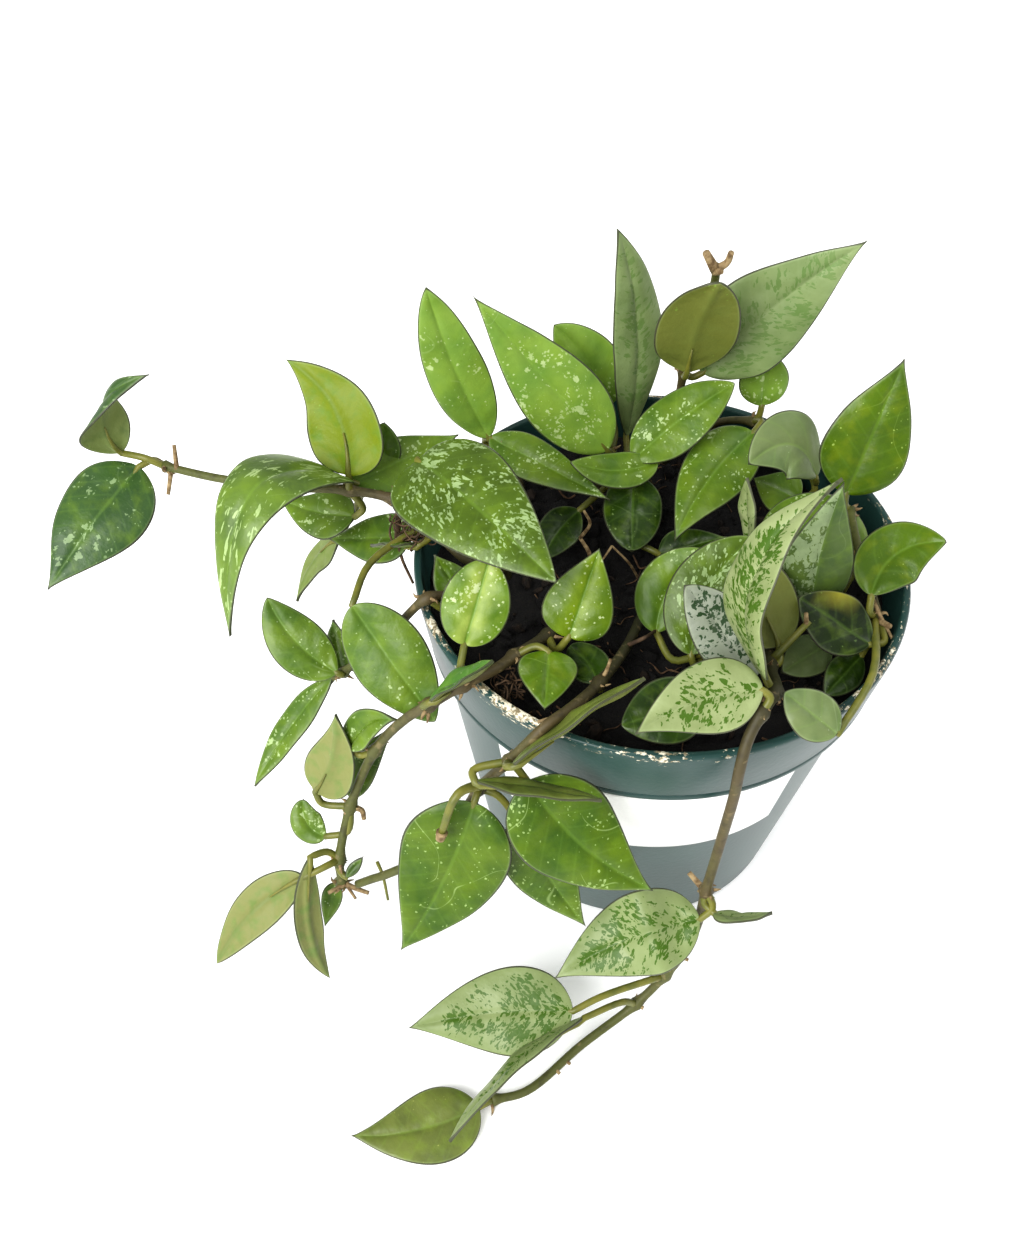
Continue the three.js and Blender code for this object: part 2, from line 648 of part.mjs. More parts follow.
const STEM_COLOURS = {
  left_trailer: LEAF_DARK,
  front_trailer: LEAF_DARK,
  silver_trailer: LEAF_SILVER,
  right_wall: LEAF_BRIGHT,
  tall_back: LEAF_SILVER,
  left_back: LEAF_BRIGHT,
};

// ---------------------------------------------------------------- the plant in its pot

const plant = new THREE.Group();

function add(name, geometry, colour, roughness) {
  const material = new THREE.MeshStandardMaterial({ color: colour, roughness, metalness: 0 });
  const mesh = new THREE.Mesh(geometry, material);
  mesh.name = name;
  plant.add(mesh);
}

add('pot', potGeometry(), POT_GREEN, 0.35);
add('soil', soilGeometry(Object.values(STEMS)), SOIL_BLACK, 0.95);
add('label', labelGeometry(), LABEL_WHITE, 0.5);
for (const [name, stem] of Object.entries(STEMS)) {
  add(name, leafyStem(stem), STEM_COLOURS[name] ?? LEAF_GREEN, 0.4);
}

export default plant;
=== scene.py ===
"""A potted hoya with speckled leaves in a round nursery pot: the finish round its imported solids.

The tables hold millimetres, and MM turns them into the scene's metres. +Z is up, -Y is the front, and
the origin is the middle of the pot's base, where it stands on the surface.
"""

import math
import random
from types import SimpleNamespace

import bmesh
import bpy
from mathutils import Matrix, Quaternion, Vector, noise


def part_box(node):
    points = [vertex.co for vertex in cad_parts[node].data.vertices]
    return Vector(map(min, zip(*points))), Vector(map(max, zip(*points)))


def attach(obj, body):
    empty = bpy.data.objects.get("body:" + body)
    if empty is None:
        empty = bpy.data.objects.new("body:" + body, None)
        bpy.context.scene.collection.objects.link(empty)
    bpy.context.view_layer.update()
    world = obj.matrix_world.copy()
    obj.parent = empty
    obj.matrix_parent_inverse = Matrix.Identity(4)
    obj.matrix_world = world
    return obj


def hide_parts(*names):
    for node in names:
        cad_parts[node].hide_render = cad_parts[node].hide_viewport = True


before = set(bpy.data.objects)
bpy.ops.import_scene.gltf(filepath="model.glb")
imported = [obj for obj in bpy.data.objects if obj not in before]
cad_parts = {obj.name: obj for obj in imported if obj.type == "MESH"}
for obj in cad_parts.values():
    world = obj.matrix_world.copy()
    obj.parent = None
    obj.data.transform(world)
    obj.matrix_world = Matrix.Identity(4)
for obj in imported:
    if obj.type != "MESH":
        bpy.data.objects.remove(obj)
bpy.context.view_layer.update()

bl_info = {
    "name": "Potted hoya",
    "version": (1, 0, 0),
    "blender": (4, 5, 0),
    "location": "View3D > Sidebar > Hoya",
    "description": "Builds a potted hoya leaf by leaf, with its pot, soil and label",
    "category": "Add Mesh",
}

MM = 0.001
BODY = "root"

# ------------------------------------------------------------------ the pot, soil and label

_, POT_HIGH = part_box("pot")
LABEL_LOW, LABEL_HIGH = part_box("label")
POT_HEIGHT = POT_HIGH.z / MM
RIM_RADIUS = POT_HIGH.x / MM
BAND_BOTTOM = 75
BAND_STEP = 2
BAND_RIDGES = [  # out and up from the band's lower corner
    (0.15, 0.4), (0.15, 1.4), (-0.05, 1.6), (-0.05, 2.0), (0.3, 2.2),
]
RIM_OUTSIDE = [(-0.05, -1.6), (0, -0.7), (-0.4, 0)]  # out and up from the rim's widest and highest
RIM_INSIDE = [(-0.2, 0), (-0.6, -0.7)]  # the same from the inner face of the wall
WALL_RADIUS = 49.6
FOOT_RADIUS = 39.5
WALL = 1.3
FLOOR_TOP = 2.6
FLOOR_RECESS = 1.2
PAD_RADIUS = 6
FOOT_RING = 4.5
DRAIN_HOLES = 8
DRAIN_RADIUS = 4
DRAIN_CIRCLE = 24
DRILL_LENGTH = 8
DRILL_SIDES = 32
ROUND_STEPS = 144
CREASE_ANGLE = 24  # degrees, from which a corner of the moulding is rounded
SALT_REACH = 6  # down from the rim
SALT_DRIFTS = [  # azimuth and half width in degrees, and how thick
    (-160, 20, 0.15), (-128, 26, 0.2), (-92, 30, 0.14), (-35, 40, 0.12), (10, 20, 0.08),
]

SOIL_TOP = 81.5
SOIL_RADIUS = 50.9
SOIL_LUMP = 0.8
SOIL_CRUMBLE = 0.9  # height of the fine unevenness
SOIL_NOISE = [(0.8, 1, 3.1), (2, 0.5, 7.7)]  # lumps for each millimetre, share and layer of the noise
SOIL_LIFT = 0.5  # of the uneven surface over the packed soil
SOIL_SPOKES = 120
SOIL_RINGS = 60
SOIL_SEED = 11
CRUMB_LEAST = 0.4
CRUMB_MORE = 2.2  # how much larger than the least a crumb may be
BARK_SHARE = 0.35  # of the crumbs
LOOSE_GAP = 1.5  # from the wall to the loose bits
FIBRE_STEPS = 5
FIBRE_STEP = 1.6
FIBRE_RADII = (0.1, 0.28)

LABEL_WIDTH = 66.7
LABEL_AZIMUTH = -95.5  # degrees, to its middle
LABEL_THICKNESS = 0.25
LABEL_GAP = 0.12
LABEL_COLUMNS = 72
LABEL_ROWS = 20

# ------------------------------------------------------------------ the leaves and stems

# How a blade's outline swells from the base (rise) and narrows to the tip (taper).
FORMS = {
    "ovate": (0.6, 1.25),
    "oval": (0.6, 0.8),
    "long": (0.8, 1.0),
    "round": (0.5, 0.6),
    "heart": (0.42, 1.1),
    "blunt": (0.3, 0.9),
}


def leaf(at, base, tip, wide, face, look, **shape):
    """One leaf: the point of its stem that it grows from, its blade's ends, width and facing, its look,
    and its bow (arch, sway), fold, cup, twist and outline form, with a bent stalk's point (via) and a crest
    across it (place along it, height)."""
    plain = dict(arch=0, sway=0, fold=10, cup=0.2, twist=0, form="ovate", via=None, crest=None)
    return SimpleNamespace(at=at, base=base, tip=tip, wide=wide, face=face, look=look, **{**plain, **shape})


def spur(start, end, thick, by=None, kind="husk"):
    """A short stub or aerial root on a stem, which may bend by way of a point. It is husk, stalk or root."""
    return SimpleNamespace(way=[start, by, end] if by else [start, end], thick=thick, kind=kind)


def shoot(root, path, leaves, radius=1.2, spurs=(), tangles=()):
    """One leafy stem: where it stands in the soil, its way from there, its leaves, its radius, its short
    stubs and roots, and its clumps of aerial roots, each a place and a size."""
    return SimpleNamespace(root=root, path=path, leaves=leaves, radius=radius, spurs=spurs, tangles=tangles)


STEMS = {
    "left_runner": shoot(
        root=(-34, 3),
        radius=1.3,
        path=[
            (-42, -1, 92), (-51, 4, 99), (-58, 7, 103), (-68, 9, 104), (-81, 11, 103),
            (-98, 16, 101), (-111, 21, 100),
        ],
        leaves=[
            leaf(6, (-117, 21, 100), (-135.5, -4, 86), 21, (0, -2, 3), "patchy", arch=2, fold=6),
            leaf(6, (-121, 23.5, 102), (-109.5, 23.5, 124), 13, (-0.6, 1, -0.6),
                 "patchy", sway=-7, twist=120, via=(-115, 21, 102.5)),
            leaf(2, (-69, 11.5, 105), (-90.5, -24, 94), 17, (-0.3, -0.6, 1),
                 "streaked", form="heart", arch=23, sway=-2),
            leaf(3, (-67.5, 9.5, 108), (-80.5, 26, 126), 17.5, (0.3, 2, -1),
                 "yellow", form="heart", sway=4.5),
            leaf(3, (-68, 12, 103), (-44.5, 26, 105), 14, (0, -1, 2), "speckled"),
            leaf(3, (-67.5, 9, 96), (-85.5, 17.5, 93), 12.5, (0, -1, 2), "speckled", sway=1),
            leaf(1, (-54.5, 3.5, 95), (-74.5, 11.5, 86), 12.5, (0, -1, 2), "speckled"),
            leaf(3, (-73.5, 17, 80), (-84.5, 10, 66), 9, (2, 1, 0.5),
                 "speckled", sway=3, via=(-67, 18, 94)),
            leaf(1, (-52.5, -2, 98.5), (-63.5, 1, 95), 9, (0, 1, 1), "speckled"),
            leaf(2, (-52, 3.5, 118), (-24, -29, 116), 24, (0, -1, 2),
                 "splashed", form="blunt", arch=3, fold=8, via=(-52.5, 3, 111)),
            leaf(1, (-65.5, -19, 98), (-48.5, -35.5, 80), 17, (-0.5, -2, 2),
                 "speckled", form="oval", via=(-62.5, -8, 99)),
            leaf(3, (-62, 17, 102), (-60.5, 22, 112), 9, (0, -2, 1), "speckled", form="oval"),
        ],
        tangles=[(-53.5, 1.2, 100.5, 4)],
        spurs=[
            spur((-108, 19.5, 100.5), (-108, 22, 105.5), 0.6),
            spur((-109.5, 20.5, 100), (-110.5, 16.5, 95.5), 0.6),
            spur((-57, 6.5, 102), (-58, 2.5, 93), 0.8, kind="root"),
            spur((-57.5, 4.5, 96), (-54.5, -2, 86), 0.45, by=(-57, 1, 92), kind="root"),
        ],
    ),
    "left_low": shoot(
        root=(-40, -10),
        path=[(-45, -13, 94), (-50, -17, 98), (-57, -18, 90), (-65, -18, 80), (-70, -18, 74)],
        leaves=[
            leaf(1, (-43, -12, 92), (-49, -5.5, 99), 9.5, (1, -1, 1), "dark", via=(-46, -16, 93)),
            leaf(4, (-71, -19.5, 76), (-86, -8, 88), 12.5, (0, -2, 3), "speckled", form="oval", sway=2),
            leaf(4, (-70.5, -16, 73), (-72.5, -7.5, 80), 9, (-1, -1, 1), "speckled"),
            leaf(4, (-72.5, -17.5, 72), (-91.5, -32.5, 50), 8, (-1, -1, 1),
                 "speckled", form="long", sway=-1.5),
        ],
    ),
    "left_trailer": shoot(
        root=(-16, 0),
        radius=1.4,
        path=[
            (-21, -16, 89), (-25, -22, 92), (-32, -30, 95), (-36, -35, 97), (-42, -39.5, 98),
            (-49, -40, 92), (-54, -39, 86), (-61.5, -38, 73), (-68, -42, 57), (-71, -49, 46),
            (-71, -51, 38),
        ],
        leaves=[
            leaf(5, (-48.5, -42, 96), (-36, -39, 105), 10, (1, 0.7, 1.6), "pale", form="long", fold=25),
            leaf(7, (-67, -37, 72), (-56, -38, 84), 9, (-1, -1, 1),
                 "speckled", fold=25, sway=2.5, via=(-65, -37.5, 70.5)),
            leaf(8, (-75.5, -40, 60), (-69.5, -33.5, 80), 13, (1, 2, -1),
                 "pale", form="heart", fold=16, sway=2),
            leaf(9, (-69, -35.5, 50), (-58, -28, 68), 7, (0, -1, 1), "dark", sway=1.5),
            leaf(8, (-74, -45.5, 50), (-79, -39, 55), 7.5, (0, -2, 2.4), "speckled", form="round", sway=2),
            leaf(9, (-78.5, -53.5, 46), (-99.5, -64.5, 26), 11, (0.3, 1, -2),
                 "pale", form="oval", sway=2.5),
            leaf(9, (-77, -50.5, 50), (-75, -64.5, 18), 7.5, (-1, 1, -0.6),
                 "pale", form="long", sway=3, via=(-73.5, -48.5, 48.5)),
            leaf(10, (-73, -49.5, 36), (-76, -55.5, 26), 5, (0, -2, 2.4), "speckled"),
            leaf(9, (-69.5, -52.5, 44), (-65.5, -49.5, 48), 2.6, (0, -1, 1),
                 "deep", form="long", via=(-71, -50.5, 44)),
            leaf(4, (-42, -30.5, 99), (-37, -19, 112), 14.5, (0, -2, 2.4), "bright", form="round", fold=14),
            leaf(1, (-21, -27.5, 98), (-15, -16, 112), 15, (0, -2, 2.4), "lime", form="heart"),
            leaf(2, (-25, -30.5, 97), (-26, -42, 93), 12.5, (0, -1, 1.4),
                 "vivid", form="heart", via=(-27.5, -29, 97)),
        ],
        tangles=[(-33.2, -34, 90.5, 3)],
        spurs=[
            spur((-70.1, -51.4, 39), (-65, -52.6, 37), 0.7, by=(-67.6, -52.1, 38)),
            spur((-70.1, -51.4, 39), (-73.9, -53.6, 39), 0.6),
            spur((-70.1, -51.4, 39), (-68, -53.5, 36), 0.45),
            spur((-68, -42, 57), (-65.2, -43.4, 54), 0.75, by=(-65.6, -42.4, 56)),
        ],
    ),
    "front_trailer": shoot(
        root=(-1, -4),
        radius=1.35,
        path=[
            (-8, -22, 89), (-15, -36, 94), (-21, -45, 98), (-26, -50, 99), (-33, -52, 90),
            (-39, -50.5, 78), (-48, -53, 58), (-59.3, -53.5, 48), (-63.6, -52.8, 44), (-67.2, -52.5, 41),
        ],
        leaves=[
            leaf(4, (-32.5, -57, 96), (-8, -47, 110), 12, (-1, 1, 1),
                 "olive", form="long", fold=20, sway=2, via=(-33.5, -55.5, 93.5)),
            leaf(5, (-40, -54.5, 79), (-56, -70.5, 46), 23.5, (0, -2, 2), "dark", sway=1.5),
            leaf(4, (-29.5, -54, 86), (-3.5, -65, 62), 21.5, (0, -2, 2), "dark", sway=-2.5),
            leaf(5, (-31.5, -54, 72), (-16.5, -64, 44), 15, (0, -2, 2), "dark", sway=-1),
            leaf(4, (-39.5, -56, 89), (-15.5, -61.5, 91), 9, (0, 1.6, 2),
                 "olive", form="long", sway=1, via=(-40, -53.5, 89)),
            leaf(1, (-15, -33, 90), (-20.5, -23.5, 90), 9, (0, -1, 2.4), "deep", form="round", sway=-1),
        ],
        spurs=[
            spur((-38, -52, 82), (-46.5, -60, 76), 1.1, by=(-43, -56, 84.5), kind="stalk"),
            spur((-46.3, -59.8, 76.5), (-46.8, -60.4, 74.6), 1.25),
            spur((-62.4, -50.2, 47), (-60, -56.6, 41.5), 0.42, by=(-61, -53.2, 46.4), kind="stalk"),
            spur((-14.7, -34.5, 93), (-12.9, -33.9, 99), 0.5, by=(-13.7, -34.8, 96)),
            spur((-8.1, -23, 90), (-2, -19, 90), 0.5, by=(-5, -23.5, 93), kind="root"),
            spur((-23.5, -48, 98.3), (-27.5, -47.7, 97), 0.5, by=(-25.3, -47, 97)),
        ],
    ),
    "silver_trailer": shoot(
        root=(23, -12),
        radius=1.4,
        path=[
            (20, -31, 93), (18, -43.5, 101), (14, -50, 103), (11.5, -54, 100), (10.4, -57, 94.8),
            (10.5, -57.5, 86.8), (10.4, -57, 67.6), (9.5, -58.5, 49.7), (9, -60, 36), (7, -62, 27),
            (3.4, -63.4, 17), (-3, -67, 9), (-16, -75, 4), (-29, -85, 2), (-37, -87, 1.8),
        ],
        leaves=[
            leaf(1, (15.5, -42, 104), (25, -28, 142), 18, (-1, -0.2, 0.25), "silver", arch=10, fold=15),
            leaf(1, (14.5, -38.5, 98), (1, -26, 112), 13, (0, -2, 2.4), "frosted", form="oval", sway=-1),
            leaf(2, (14, -47.5, 107), (-10, -55.5, 104), 14.5, (0, -1.3, 2), "silver", sway=-2),
            leaf(7, (8.5, -62.5, 44), (-23, -70, 30), 19, (0, -1, 2), "sage", sway=-2, crest=(0.3, 4)),
            leaf(7, (11.5, -62, 46), (23.5, -63, 48), 8, (0, 1, 1), "sage", sway=-2),
            leaf(10, (-18.5, -72.5, 18), (-56.5, -74.5, 13), 20.5, (0, -1, 2),
                 "sage", sway=-1.5, via=(-12, -69.5, 19)),
            leaf(11, (-16, -73.5, 17), (-46, -100, 14), 10, (-0.7, 0.5, 0.6),
                 "sage", form="long", arch=3),
            leaf(14, (-40, -89, 3.2), (-69, -95, 1.8), 17, (0, -0.2, 2), "olive", sway=2),
            leaf(0, (22.5, -26, 93), (11, -11, 105), 17.5, (0, 1, -2), "olive", form="round", sway=1),
        ],
        spurs=[
            spur((9.5, -58.5, 49), (6, -55, 51), 0.8),
            spur((20.5, -29, 92), (28, -24, 99), 0.9, kind="stalk"),
            spur((27.4, -24.5, 98.3), (27, -23.6, 101), 0.6),
            spur((6.2, -62.4, 25), (8, -63.3, 25), 0.55),
            spur((-3, -67, 9), (-1.3, -68.1, 9), 0.65),
            spur((-20, -78, 3.3), (-18.8, -79.3, 3.3), 0.55),
            spur((-22.5, -80, 3), (-21.3, -81.4, 3), 0.55),
        ],
    ),
    "right_wall": shoot(
        root=(41.5, -18.5),
        path=[(44, -17, 93), (42, -6, 98), (42, 8, 99)],
        leaves=[
            leaf(2, (40.5, 9, 103), (49, 21, 130), 19.5, (0, -2, 1.4), "vivid"),
            leaf(0, (41.5, -18, 100), (56.5, -10.5, 108), 14, (-0.5, -1, 2), "vivid", form="oval", sway=4),
            leaf(0, (41, -26, 94), (26.5, -18.5, 100), 13.5, (0, -1, 2), "scorched", form="oval"),
            leaf(0, (41, -24, 87.5), (31, -35.5, 89), 8, (0, -1, 2), "deep", form="oval"),
            leaf(0, (29.5, -50.5, 97), (19, -45, 103), 10, (-0.6, -1, 2),
                 "grey", form="oval", via=(39, -36, 97)),
            leaf(0, (35.5, -19.5, 86.5), (24, -27.5, 86.5), 9.5, (0, -1, 2), "grey", form="oval"),
            leaf(1, (44.5, -0.5, 94), (22, 4, 97), 16, (0, -1, 2), "speckled", form="oval", sway=-4),
            leaf(1, (19, 0.5, 96), (17.5, 6.5, 110), 7, (-1.3, -0.6, 0),
                 "silver", form="long", via=(32, -9, 90)),
            leaf(1, (31, -15, 91), (33.5, -6.5, 121), 15.5, (0, -1.6, 1.2), "patched", sway=1),
        ],
        spurs=[
            spur((44, -18, 92.5), (45.5, -22.5, 95.5), 0.8),
            spur((43.2, -15.7, 96), (47.3, -23, 91), 0.5, by=(44.5, -19, 94.5)),
            spur((44, -17, 93), (34.9, -41.7, 93), 0.8, by=(42, -30, 90)),
        ],
    ),
    "back_rim": shoot(
        root=(15, 41),
        path=[(16, 43, 93), (25, 40, 97), (34, 29, 98)],
        leaves=[
            leaf(1, (26.5, 40, 102), (25.5, 42, 116), 12, (0, -2, 1), "fresh", form="oval"),
            leaf(1, (23.5, 31.5, 101), (3, 1, 96), 16, (0, -1, 2), "speckled", sway=-2),
            leaf(2, (35.5, 16.5, 101), (19, 13, 108), 16, (0, -2, 2.6),
                 "grey", arch=2, form="oval", sway=-5.5),
            leaf(2, (35.5, 23.5, 87), (25, 30, 88), 12, (0, -1, 2), "speckled"),
        ],
    ),
    "tall_back": shoot(
        root=(6, 42),
        path=[(6.7, 41, 98), (6.6, 38, 113), (8, 33, 131), (9, 30, 143), (8.5, 29, 147)],
        leaves=[
            leaf(1, (6.5, 33.5, 117), (9, 24.5, 146), 18, (0, 1, -0.6), "olive", form="round", sway=-1),
            leaf(1, (11, 38, 113), (39.5, 34.5, 149), 21.5, (0, -2, 1), "misty", sway=1.5),
        ],
        spurs=[
            spur((8.5, 29, 146), (6, 28, 150.5), 1.1),
            spur((8.5, 29, 146), (11, 28, 150.5), 0.9, by=(10.6, 29, 147.5)),
            spur((8.5, 29, 145.5), (9.3, 26.8, 147), 0.9),
        ],
    ),
    "centre_back": shoot(
        root=(1, 29),
        path=[(-1, 29, 90), (-3, 27.5, 97)],
        leaves=[
            leaf(1, (-5, 38, 94), (-11, 37.5, 150), 13, (1, -2, 0.4), "misty", form="long", sway=-4),
            leaf(1, (-5, 21.5, 101.5), (17.5, 33, 114), 14, (0, -1, 2), "speckled", form="oval", sway=1),
            leaf(1, (0.5, 21.5, 101), (-19.5, 18, 104), 9, (0, -1, 2), "speckled", form="oval", sway=2),
            leaf(1, (-4.5, 22.5, 96), (-5.5, 5, 89), 14, (0, -1, 2), "deep", form="round"),
            leaf(1, (1, 6, 87), (16, 7.5, 91), 10, (0, -1, 3), "deep"),
            leaf(1, (-17, 17, 90), (-25.5, 4, 87), 10, (0, -1, 2), "deep", form="oval", sway=-1),
        ],
        spurs=[
            spur((-16.7, 5, 80), (-17.1, 7.2, 91), 0.6, by=(-14.8, 5.4, 87)),
            spur((-17.1, 7.2, 91), (-16.6, 7.7, 99), 0.45, by=(-15.1, 7.6, 95)),
            spur((-3, 4.1, 80), (-10.2, 3.7, 92), 0.35, by=(-6.4, 2.6, 88)),
            spur((-10.2, 3.7, 92), (-12.6, 0.1, 91), 0.3),
        ],
    ),
    "back_left": shoot(
        root=(-11, 33),
        path=[(-10, 33, 90), (-9, 32, 95)],
        leaves=[
            leaf(1, (-10.5, 27.5, 99), (-40.5, 30, 139), 18.5, (0, -2, 1), "fresh"),
            leaf(1, (-9.5, 40, 102), (-23, 45, 121), 14.5, (0, -2, 1), "fresh", form="oval", sway=-1.5),
        ],
    ),
    "left_back": shoot(
        root=(-30.5, 31),
        path=[(-34, 33, 90), (-36, 32, 97)],
        leaves=[
            leaf(1, (-38, 32, 99), (-50.5, 34.5, 138), 14, (0, -2, 1), "fresh", form="oval", sway=1),
            leaf(0, (-37.5, 32, 99), (-10.5, 12, 98), 11, (0, -1, 2), "speckled"),
        ],
    ),
    "centre": shoot(
        root=(9.5, -12),
        path=[(8, -24, 90), (8.4, -28, 95)],
        leaves=[
            leaf(0, (4, -29, 94), (16.5, -11, 110), 16, (0, -1, 2), "splashed", form="oval", sway=3),
            leaf(1, (-2, -19.5, 90), (9, -8.5, 103), 13.5, (0, -1, 2), "speckled", form="oval", sway=3),
            leaf(1, (6, -40.5, 95), (-11, -45, 92), 14, (0, -1, 2), "deep", form="oval"),
        ],
    ),
}


def look(slot, ground, shade, fleck, fine, coarse, under="#6f7c46", **more):
    """A look of a leaf: the record's slot, its upper side's two greens, its flecks' colour, how much of it
    the fine dots and the coarse flecks cover (up to 1, and below 0 where hardly any show), and its
    underside. The coarse flecks may keep to its middle (centred) or to one half (halved), be of a size in
    millimetres (cell), drawn out (stretch below 1) at an angle to the midrib (lean), and hide the green
    more or less (bold). Beside the midrib a blade may be paler (halo), it may be crossed by scratches
    (scars), and near its edge it may be scorched."""
    plain = dict(vein="#7da043", warm="#7d9826", warmth=0.2, veined=0.06, ribbed=0.14, centred=0.0,
                 halved=0.0, stretch=0.7, lean=20, cell=1.1, bold=0.55, halo=0.0, scorch=0.0,
                 scars=0.12, margin="#35332a", gloss=0.36)
    return SimpleNamespace(slot=slot, ground=ground, shade=shade, fleck=fleck, fine=fine, coarse=coarse,
                           under=under, **{**plain, **more})


LOOKS = {
    "speckled": look("green_leaf", "#5b7220", "#435f19", "#b5c894", 0.26, 0.14),
    "fresh": look("green_leaf", "#7b973e", "#658535", "#c0d09a", 0.26, 0.22),
    "splashed": look("green_leaf", "#485e14", "#3a4e0c", "#a3b986", 0.34, 0.38, stretch=0.4, cell=0.65,
                     bold=0.5),
    "streaked": look("green_leaf", "#5e762c", "#496026", "#aec488", 0.26, 0.45,
                     stretch=0.22, lean=6, cell=0.65),
    "patchy": look("green_leaf", "#3a5429", "#2f4824", "#8fa578", 0.16, 0.24),
    "yellow": look("green_leaf", "#517727", "#406424", "#b5c894", 0.2, 0.1, "#69780a"),
    "dark": look("dark_leaf", "#4e650c", "#35510a", "#a9c07e", 0.24, 0.02, scars=0.3, warm="#66841c"),
    # Painted shade: a darker copy of the dark leaf, for leaves low in the pot and under other leaves.
    "deep": look("dark_leaf", "#294009", "#1c3006", "#8fa868", 0.14, -0.2),
    "scorched": look("dark_leaf", "#182902", "#101f02", "#6f8a4c", 0.14, -0.2, scorch=1.0, gloss=0.5),
    "bright": look("bright_leaf", "#5c780f", "#49660a", "#c5d0a4", 0.3, 0.06, warm="#8fa04c", halo=1.4,
                   vein="#47700a", ribbed=0.6, scars=0.0),
    "lime": look("bright_leaf", "#4f6603", "#3f5802", "#c5d0a4", 0.3, 0.06, warm="#708518", halo=1.0,
                 vein="#3c600a", ribbed=0.5, scars=0.0),
    "vivid": look("bright_leaf", "#4b6502", "#3b5402", "#a9c068", 0.14, -0.1, warm="#6a7804", warmth=0.4),
    "silver": look("silver_leaf", "#899467", "#768254", "#3c5a0c", 0.1, 0.56, "#747e4e", centred=0.3,
                   cell=0.55, stretch=0.5, lean=45, vein="#98a47a", warm="#919c70", gloss=0.42, bold=1.0),
    "misty": look("silver_leaf", "#7a8a5b", "#6b7d4e", "#4c6d2a", 0.1, 0.5, "#747e4e", centred=0.2,
                  cell=0.7, stretch=0.4, lean=45, vein="#98a47a", warm="#8c9c72", gloss=0.42, bold=0.5),
    "sage": look("silver_leaf", "#7c895b", "#6c7b4b", "#3b590e", 0.1, 0.5, "#747e4e", centred=0.3,
                 cell=0.55, stretch=0.5, lean=45, vein="#8a966c", warm="#84925f", gloss=0.42, bold=1.0),
    "frosted": look("silver_leaf", "#7a8071", "#6a7260", "#22381c", 0.1, 0.52, "#747e4e", centred=0.25,
                    cell=0.6, stretch=0.7, lean=45, vein="#949c86", warm="#868e78", gloss=0.42, bold=1.0),
    "patched": look("silver_leaf", "#546735", "#44592f", "#9dae86", 0.24, 0.36, "#747e4e", halved=0.5),
    "grey": look("green_leaf", "#67744a", "#55663d", "#a3b08c", 0.1, -0.1, warm="#758558", gloss=0.42),
    "pale": look("dark_leaf", "#4f7630", "#3e6426", "#b5c894", 0.2, 0.1, "#767a46"),
    "olive": look("dark_leaf", "#667035", "#525c2b", "#a0a35c", 0.1, -0.1, "#666c31"),
}

VEIN_SPACING = 4.2  # side veins along the midrib
VEIN_SLANT = 0.75  # how far a side vein runs forward for each millimetre outward
VEIN_RELIEF = 0.13
GROOVE_DEPTH = 0.4
GROOVE_WIDTH = 0.7
GROOVE_FROM = 3  # half width of blade from which the groove has its full depth
RELIEF_FROM = 4  # half width of blade from which the veins, lumps and crest have their full height
EDGE_WAVE = 0.06  # of the blade's half width
EDGE_THINNING = 0.45  # of the blade's thickness
CREST_SPREAD = 0.1  # of the blade's length
LUMP = 0.7
LUMP_RATE = 0.13  # lumps for each millimetre
BLADE_ROWS = 26
BLADE_COLUMNS = 14
COLUMN_CROWDING = 1.2  # above 1, a blade's columns lie closer together at its midrib

FLECK_DRIFT = 1.8  # how much the flecks crowd together
FLECK_GROWTH = 1.7  # how fast they grow where they crowd
FLECK_CHANGE = 0.12  # how much stronger or weaker they are from place to place
DOT_CELL = 0.65  # spacing of the fine dots
SCORCH_PLACE = 10.5  # along the blade
SCORCH_SPREAD = 5
SCORCHED = "#8f8a24"  # the dried yellow patch
EDGE_HIGHLIGHT = "#a4b486"  # painted highlight: the thin pale line inside a leaf's dark margin, where its edge catches the light

TUBE_SIDES = 10
STEM_SIDES = 12
STEM_DEPTH = 6  # of its foot in the soil
STEM_STRAIGHT = 85  # height up to which a stem stands straight
STEM_SHARE = 0.86  # of its radius at its foot
STEM_TAPER = 0.16  # less at its end
STEM_SWELL = 0.45  # more at a node
SWELL_REACH = 1.5
STEMS_SEED = 5
STALK_RADIUS = 0.85
STALK_TAPER = 0.1  # share of its radius that is lost along it
STALK_BEND = 0.35
STALK_SINK = 0.2  # of its end under the blade
RIB_DROP = 0.85  # from a blade's middle surface down to the middle of the rib under it
RIB = [(0.05, 0.7), (0.11, 0.52), (0.19, 0.38), (0.3, 0.2)]  # place along the blade, share of the radius
SPUR_KINDS = {"stalk": 1, "husk": 2, "root": 3}  # the stem piece's material for each kind of spur
SPUR_TAPER = 0.35  # share of its radius that is lost along it
BRACTS = 5  # at each node
BRACT_RADIUS = 0.55
BRACT_TAPER = 0.85  # share of its radius that is lost along it
BRACT_REACH = (1.9, 3.9)
BRACT_START = 0.6  # from the middle of the stem
TANGLE_ROOTS = 16
TANGLE_STEPS = 7
TANGLE_RADII = (0.14, 0.26)

# How many patches of each pattern lie along a millimetre of the real surface, so 0.1 is one in 10 mm.
LEAF_TONES = 0.13
LEAF_BLOTCHES = 0.3
LEAF_SKIN = 0.7
FLECK_CROWDS = 0.12
FLECK_BENDS = 0.8
FLECK_RAGS = 2.6
LEAF_SCARS = 0.05
BARK_STREAKS = 0.45
BARK_PATCHES = 0.09
STALK_MOTTLE = 0.26
HUSK_MOTTLE = 0.7
FIBRE_MOTTLE = 0.5
PEAT_GRAINS = 0.9
POT_CLOUDS = 0.04
POT_GRAIN = 0.9
SALT_CLOUDS = 0.055
SALT_FLAKES = 0.8
SALT_STAINS = 1.4
PAPER_FIBRES = 1.5

